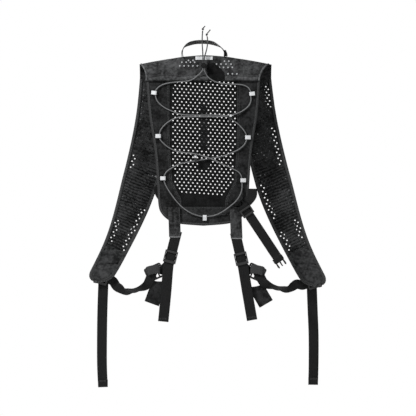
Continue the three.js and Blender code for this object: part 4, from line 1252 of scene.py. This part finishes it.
def build_link(side, tip):
    """The webbing that hangs from the strap's tip to the ladder lock, edge-on where it sags."""
    data = SIDES[side]
    sign = data["sign"]
    out, height = data["ladder"]
    near = out + 10
    far = data["strap"][3] - 4
    route = [
        (tip[0] - sign * 20, STRAP_BACK + 3.4, tip[2] + 8),
        (tip[0] - sign * 32.5, STRAP_BACK + 4, tip[2] + 3),
    ]
    route += [(sign * mix(far, near, share), y, data["link_low"] + lift) for share, y, lift in LINK_HANG]
    route += [(sign * (out + 5), -0.5, height - 2), (sign * (out + 0.5), -0.4, height + 8)]
    flat, edge_on, end = np.array([(-0.66 * sign, 0, 0.75), (0, -1, 0.36), (0.85 * sign, 0, 0.53)])

    def across(v):
        v = max(0.0, (v - 0.06) / 0.94)
        if v < 0.5:
            return mix(flat, edge_on, smooth(v, 0.02, 0.44))
        return mix(edge_on, end, smooth(v, 0.5, 0.88))

    link = webbing(f"link_{side}", route, WEBBING_WIDTH, 1.5, across, 90, crown=0.15)
    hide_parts(f"link_webbing_{side}")
    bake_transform(link)


for side in SIDES:
    build_strap(side)

# ---------------------------------------------------------------- bottom webbings and their hardware
LOWER_Y = -4.2
ANCHOR_Y = 2.1


def build_sleeve(side):
    """The cloth sleeve that the bottom webbing comes out of: a bulged front, a flat back and a pale hem."""
    data = SIDES[side]
    top, low = (x * data["sign"] for x in data["sleeve"][:2])
    hem, y = data["hem"], LOWER_Y
    v = np.linspace(0, 1, 40)[:, None]
    share = np.linspace(-1, 1, 14)
    x = mix(top, low, v) + share * 12.2
    z = mix(BAND_SEAM - 1, hem, v) + 0.6 * share**2
    bulge = (1 - share**4) * np.sin(np.clip(v * 4, 0, math.pi / 2))
    fold = 0.6 * hump(z, BAND_SEAM - 11, 6**0.5)
    for name, depth in (("front", y + 0.2 - bulge - fold), ("back", y + 2.3)):
        face = grid_cloth(f"sleeve_{name}_{side}", xyz(x, depth, z), 0.8, SLEEVE)
        fit(face, "pack", "webbing", f"sleeve_{side}")
    rows = [bar(low, 11.5, y - 1.2, hem + lift) for lift in (2.0, 4.4)]
    rows += [[(top + edge, y - 0.5, BAND_SEAM - 3), (low + edge, y - 0.5, hem + 2)] for edge in (-11.2, 11.2)]
    fit(stitches(f"sleeve_stitches_{side}", rows, 2.8, 2.0, 0.25), "pack")
    route = [(low - 12.2, y - 0.9, hem - 0.2), (low, y - 1.15, hem - 0.6), (low + 12.2, y - 0.9, hem - 0.2)]
    fit(webbing(f"sleeve_hem_{side}", route, 2.0, 0.8, (0, 0, 1), 16, material=TAPE_PALE), "pack")


def build_bottom(side):
    """The bottom webbing through its tri-glide, and the anchor webbing to the wrapped ladder lock."""
    data = SIDES[side]
    sign, hem, foot, y = data["sign"], data["hem"], data["webbing_end"], LOWER_Y
    glide, bend, end = (x * sign for x in data["sleeve"][2:])
    glide_top = data["glide_top"]
    glide_low = glide_top - 26

    def glide_x(height):
        return mix(glide, bend, (height - glide_top) / (glide_low - glide_top))

    heights = (hem - 3.4, glide_top, glide_low, glide_low - 5)
    route = [(glide_x(hem + 12), y + 0.9, hem + 12), *((glide_x(z), y, z) for z in heights)]
    route += [(mix(bend, end, 0.5), y, mix(glide_low, foot, 0.5)), (end, y, foot)]
    band = webbing(f"bottom_webbing_{side}", route, LOWER_WIDTH, WEBBING_THICK, (1, 0, 0), 90, crown=0.1)
    fit(band, "pack", "webbing", f"lower_webbing_{side}")
    rows = [bar(end, 8.5, y - 1.1, foot + lift) for lift in (5.0, 7.2)]
    fit(stitches(f"bottom_stitches_{side}", rows, 2.4, 1.8, 0.25), "pack")
    fit(copy_of(f"tri_glide_{side}", f"glide_{side}_piece", PLASTIC, 1.0), f"glide_{side}", "plastic")
    fit(copy_of(f"ladder_lock_{side}", f"ladder_{side}", PLASTIC, 0.5), "pack", "plastic")

    out, height = data["ladder"]
    route = [(glide_x(glide_low) + sign * 3, ANCHOR_Y, glide_low - 1)]
    route += [(sign * (out - 17), ANCHOR_Y, height + 8), (sign * (out - 13), ANCHOR_Y, height - 4)]
    anchor = webbing(f"anchor_{side}", route, WEBBING_WIDTH - 6, 1.5, (1, 0, 0), 24)
    fit(anchor, "pack", "webbing", f"anchor_webbing_{side}")
    around = ((15.5, -1.6, 1.5), (13, -4.6, 3.5), (1, -5.4, 6.5), (-8, -4.6, 7), (-11, -2.4, 7))
    route = [(sign * (out + x), depth, height + z) for x, depth, z in around]
    wrap = webbing(f"ladder_wrap_{side}", route, 18.5, 1.2, (0.1 * sign, 0, 1), 40, material=WRAP, crown=0.3)
    fit(wrap, "pack", "webbing")


def build_tab(side):
    """The cloth tab beside the ladder lock: a turned rectangle with a peak in its top edge."""
    corner_x, corner_z, turn, tall = SIDES[side]["tab"]
    u = np.linspace(0, 1, 16)
    share = np.linspace(0, 1, 22)[:, None]
    peak = 10 * (1 - np.abs(u - 0.875) / 0.875) * (u < 0.876) * u
    across, up = u * 32, (1 - share) * peak - tall * share
    x = SIDES[side]["sign"] * (corner_x - across * math.cos(turn) - up * math.sin(turn))
    z = corner_z - across * math.sin(turn) + up * math.cos(turn)
    y = 2.55 + 0.5 * np.sin(u * 3.0 + share * 2) * np.sin(share * math.pi)
    tab = fit(grid_cloth(f"tab_cloth_{side}", xyz(x, y, z), 1.0, SHELL), "pack", "shell", f"side_tab_{side}")


for side in SIDES:
    build_sleeve(side)
    build_bottom(side)
    build_tab(side)

# ---------------------------------------------------------------- haul loop
LOOP_HALF = 44
LOOP_ARCH = [
    (-1, -29.0), (-1.03, -16), (-0.96, -7.5), (-0.76, -1), (-0.48, 3.1), (0, 4.3),
    (0.37, 2.4), (0.62, -2.2), (0.83, -8), (0.95, -15), (0.98, -29.0),
]


def build_loop():
    """The webbing arch, its face tipped outwards at the crown, its legs edge-on and sewn into the yoke."""

    def tipped(v):
        tilt = float(0.44 * smooth(v, 0.1, 0.3) * (1 - smooth(v, 0.64, 0.88)))
        return (0, -math.cos(tilt), -math.sin(tilt))

    def leg(v):
        return (mix(1, 0.5, v), mix(0, 0.9, v), 0)

    foot = [(45.5, -1.5, -26.4), (45.2, -1.2, -20), (43.4, -0.6, -13)]
    fit(webbing("loop_foot_right", foot, 8.0, 1.2, leg, 16), "haul_loop", "webbing")
    for name, x in (("left", -47.4), ("right", 47.2)):
        line = [(x, -2.4, -26.8), (x, -2.3, -20), (x * 0.975, -1.6, -13.5)]
        fit(tube(f"loop_edge_{name}", resample(line, 12), 0.55, 6, PIPING), "haul_loop", "webbing")
    route = [(across * LOOP_HALF, 3.5, height) for across, height in LOOP_ARCH]
    band = webbing("loop_webbing", route, WEBBING_WIDTH, 1.5, tipped, 90, crown=0.1)
    fit(band, "haul_loop", "webbing", "haul_loop")


# ---------------------------------------------------------------- shock cord, its keepers and its lock
LOW = -2.95
OVER = -6.2
CORD_ROUTE = [
    (LEFT_CORD, CORD_Y, -46.3), (LEFT_CORD, CORD_Y, -50), (LEFT_CORD, CORD_Y, -54),
    (-5, -10.4, -58.6), (-9.4, -8, -63.4), (-15.4, -6, -68.4), (-23, -5.1, -74.2), (-33, -4.9, -78),
    (-50, -4.2, -79.6), (-65, -3.2, -81), (-80, -2.8, -83.6), (-92, -2.6, -88.4), (-99.6, LOW, -95.2),
    (-102, LOW, -100), (-102, LOW, -106), (-101, LOW, -113), (-97, LOW, -121.4), (-90, LOW, -128.6),
    (-81, LOW, -135), (-68, LOW, -141), (-54, LOW, -146.6), (-40, LOW, -149.2), (-20, LOW, -149.8),
    (20, LOW, -149.8), (38, LOW, -150), (50, LOW, -153.4), (62, LOW, -161), (74, LOW, -170.8),
    (84, LOW, -182), (88.4, LOW, -190), (89.2, LOW, -196.4), (89, LOW, -202.8), (84.6, LOW, -211.4),
    (76, LOW, -219.4), (62, LOW, -227.2), (40, LOW, -235.6), (14, LOW, -240.6), (-10, LOW, -244.4),
    (-32, LOW, -248), (-52, LOW, -252.4), (-66, LOW, -259.8), (-77.5, LOW, -267.4), (-83.1, LOW, -276.5),
    (-83.3, LOW, -282.2), (-83.1, LOW, -289.6), (-77.4, LOW, -302.4), (-68.6, LOW - 1.4, -316),
    (-58.6, OVER, -329.4), (-46, OVER, -342.6), (-32, OVER, -352.6), (-18, -3.8, -359), (-6, LOW, -362),
    (9, LOW, -362.2), (24, -3.6, -359.4), (40, OVER, -351.6), (54, OVER - 0.6, -341.4),
    (66, OVER - 0.8, -331.2), (74, OVER, -320.4), (79, -4, -308), (79.9, LOW, -295), (79.3, LOW, -286.4),
    (78.6, LOW, -278.6), (73.6, LOW, -270.2), (60, -3.4, -262.4), (42, OVER, -254.2), (22, OVER, -244.6),
    (0, OVER, -236), (-22, OVER, -230.4), (-44, -5, -228.2), (-60, -3.4, -224.6), (-76, LOW, -216.4),
    (-87, LOW, -207), (-92.8, LOW, -199.6), (-93.2, LOW, -193.4), (-93, LOW, -186.6), (-89.6, LOW, -178.6),
    (-80, LOW, -167.8), (-66, LOW, -158.6), (-50, LOW, -153.6), (-30, LOW, -153.2), (10, LOW, -153.2),
    (28, -4.4, -153), (44, OVER, -152), (58, OVER, -149.4), (74, -4.4, -144.4), (86, LOW, -137.2),
    (94.4, LOW, -129), (98.6, LOW, -119), (98.2, LOW, -110), (98, LOW, -105), (97.4, LOW, -99),
    (92.4, -2.6, -91.6), (82, -2.8, -86.6), (66, -3.2, -85), (44, -4.1, -84), (26, -5.6, -80.4),
    (14, -6.2, -74.6), (7, -7, -68), (3.4, -9.4, -62), (1.6, -10.8, -58.2),
    (RIGHT_CORD, CORD_Y, -54), (RIGHT_CORD, CORD_Y, -50), (RIGHT_CORD, CORD_Y, -46.3),
]
CLIPS = {"left": (-18, -237), "right": (56, -151)}


def build_lacing():
    cord = tube("lacing", curve_through(CORD_ROUTE, 900), CORD_WIDE / 2, 10, CORD)
    fit(cord, "pack", "cord", "bungee_cord")
    keepers = [f"{row}_{side}" for row in ("upper", "middle", "lower") for side in SIDES]
    for name in (*keepers, "bottom"):
        fit(copy_of(f"cord_keeper_{name}", f"keeper_{name}", SILVER, 0.9), "pack", "reflective")
    for side, (x, z) in CLIPS.items():
        fit(copy_of(f"cord_clip_{side}", f"clip_{side}", PLASTIC, 0.5), "pack", "plastic")
        # The silver patch on each clip is a painted highlight: it stands for the glint on the clip's face.
        glint_patch = flat_patch(f"clip_glint_{side}", (x - 2.3, z - 2.2), (x + 2.3, z + 2.2), -10.3, 0.5, SILVER)
        fit(glint_patch, "pack", "reflective")


def build_lock():
    """The cord lock: its barrel, its button and its spring, the spring on a mesh of its own."""
    fit(copy_of("lock_barrel", "lock_barrel_piece", LOCK_BLACK, 0.3), "cord_lock", "plastic")
    fit(copy_of("lock_button", "lock_button_piece", LOCK_BLACK, 0.3), "lock_button", "plastic")
    spring = fit(copy_of("lock_spring", "lock_spring_piece", STEEL, 0.02), "cord_lock", "spring")
    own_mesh(spring)


# ---------------------------------------------------------------- side straps
SIDE_TOP = np.array([90.0, -9.0, -352.0])
SIDE_LOW = np.array([153.0, -9.0, -447.0])


def build_side_straps():
    """The right strap from its slider to the buckle's male half, its spare end, and the short left strap."""
    down = unit(SIDE_LOW - SIDE_TOP)
    route = [
        SIDE_TOP + (-9, 0, 14), SIDE_TOP, mix(SIDE_TOP, SIDE_LOW, 0.5) + (0, -0.6, 0),
        SIDE_LOW + (-2, -0.3, 3), SIDE_LOW + (1.5, -2.6, -2.4), SIDE_LOW + (5, -3.2, -7.8),
    ]
    band = webbing("side_webbing", route, SIDE_WEBBING + 1, 1.3, (-down[2], 0, down[0]), 80)
    fit(band, "side_strap", "webbing", "side_strap_webbing")
    fit(copy_of("side_slider", "slider", PLASTIC, 0.4), "side_strap", "plastic")
    fit(copy_of("buckle_male", "buckle_prongs", BUCKLE, 0.5), "side_buckle", "plastic")
    fit(copy_of("buckle_female", "buckle_socket", BUCKLE, 0.5), "side_strap_left", "plastic")
    route = [(-99, 10.7, -298), (-93, 10.7, -316), (-80, 10.7, -331)]
    short = webbing("side_webbing_left", route, 18, 1.4, lambda v: (1, 0, mix(0.3, 1.1, v)), 30)
    fit(short, "side_strap_left", "webbing", "side_strap_left")
    route = [(84, -3.6, -337), (94, -3.6, -329), (101.5, -2.8, -318), (102, -2.6, -304)]
    spare = webbing(
        "side_spare", route, SIDE_WEBBING, 1.3, lambda v: (mix(0.75, 1, v), 0, mix(0.65, 0, v)), 30
    )
    fit(spare, "pack", "webbing", "side_strap_spare")
    tab = flat_patch("anchor_cloth", (64.5, -340.5), (77, -327), -1.0, 1.2, SHELL)
    fit(tab, "pack", "shell", "side_anchor_tab")


build_loop()
build_lacing()
build_lock()
build_side_straps()

# ---------------------------------------------------------------- floor
FLOOR_HALF = 900
FLOOR_LEVEL = -860.0
ground = np.linspace(-FLOOR_HALF, FLOOR_HALF, 3)
grid_cloth("floor", xyz(ground, ground[:, None], FLOOR_LEVEL), 4.0, FLOOR)
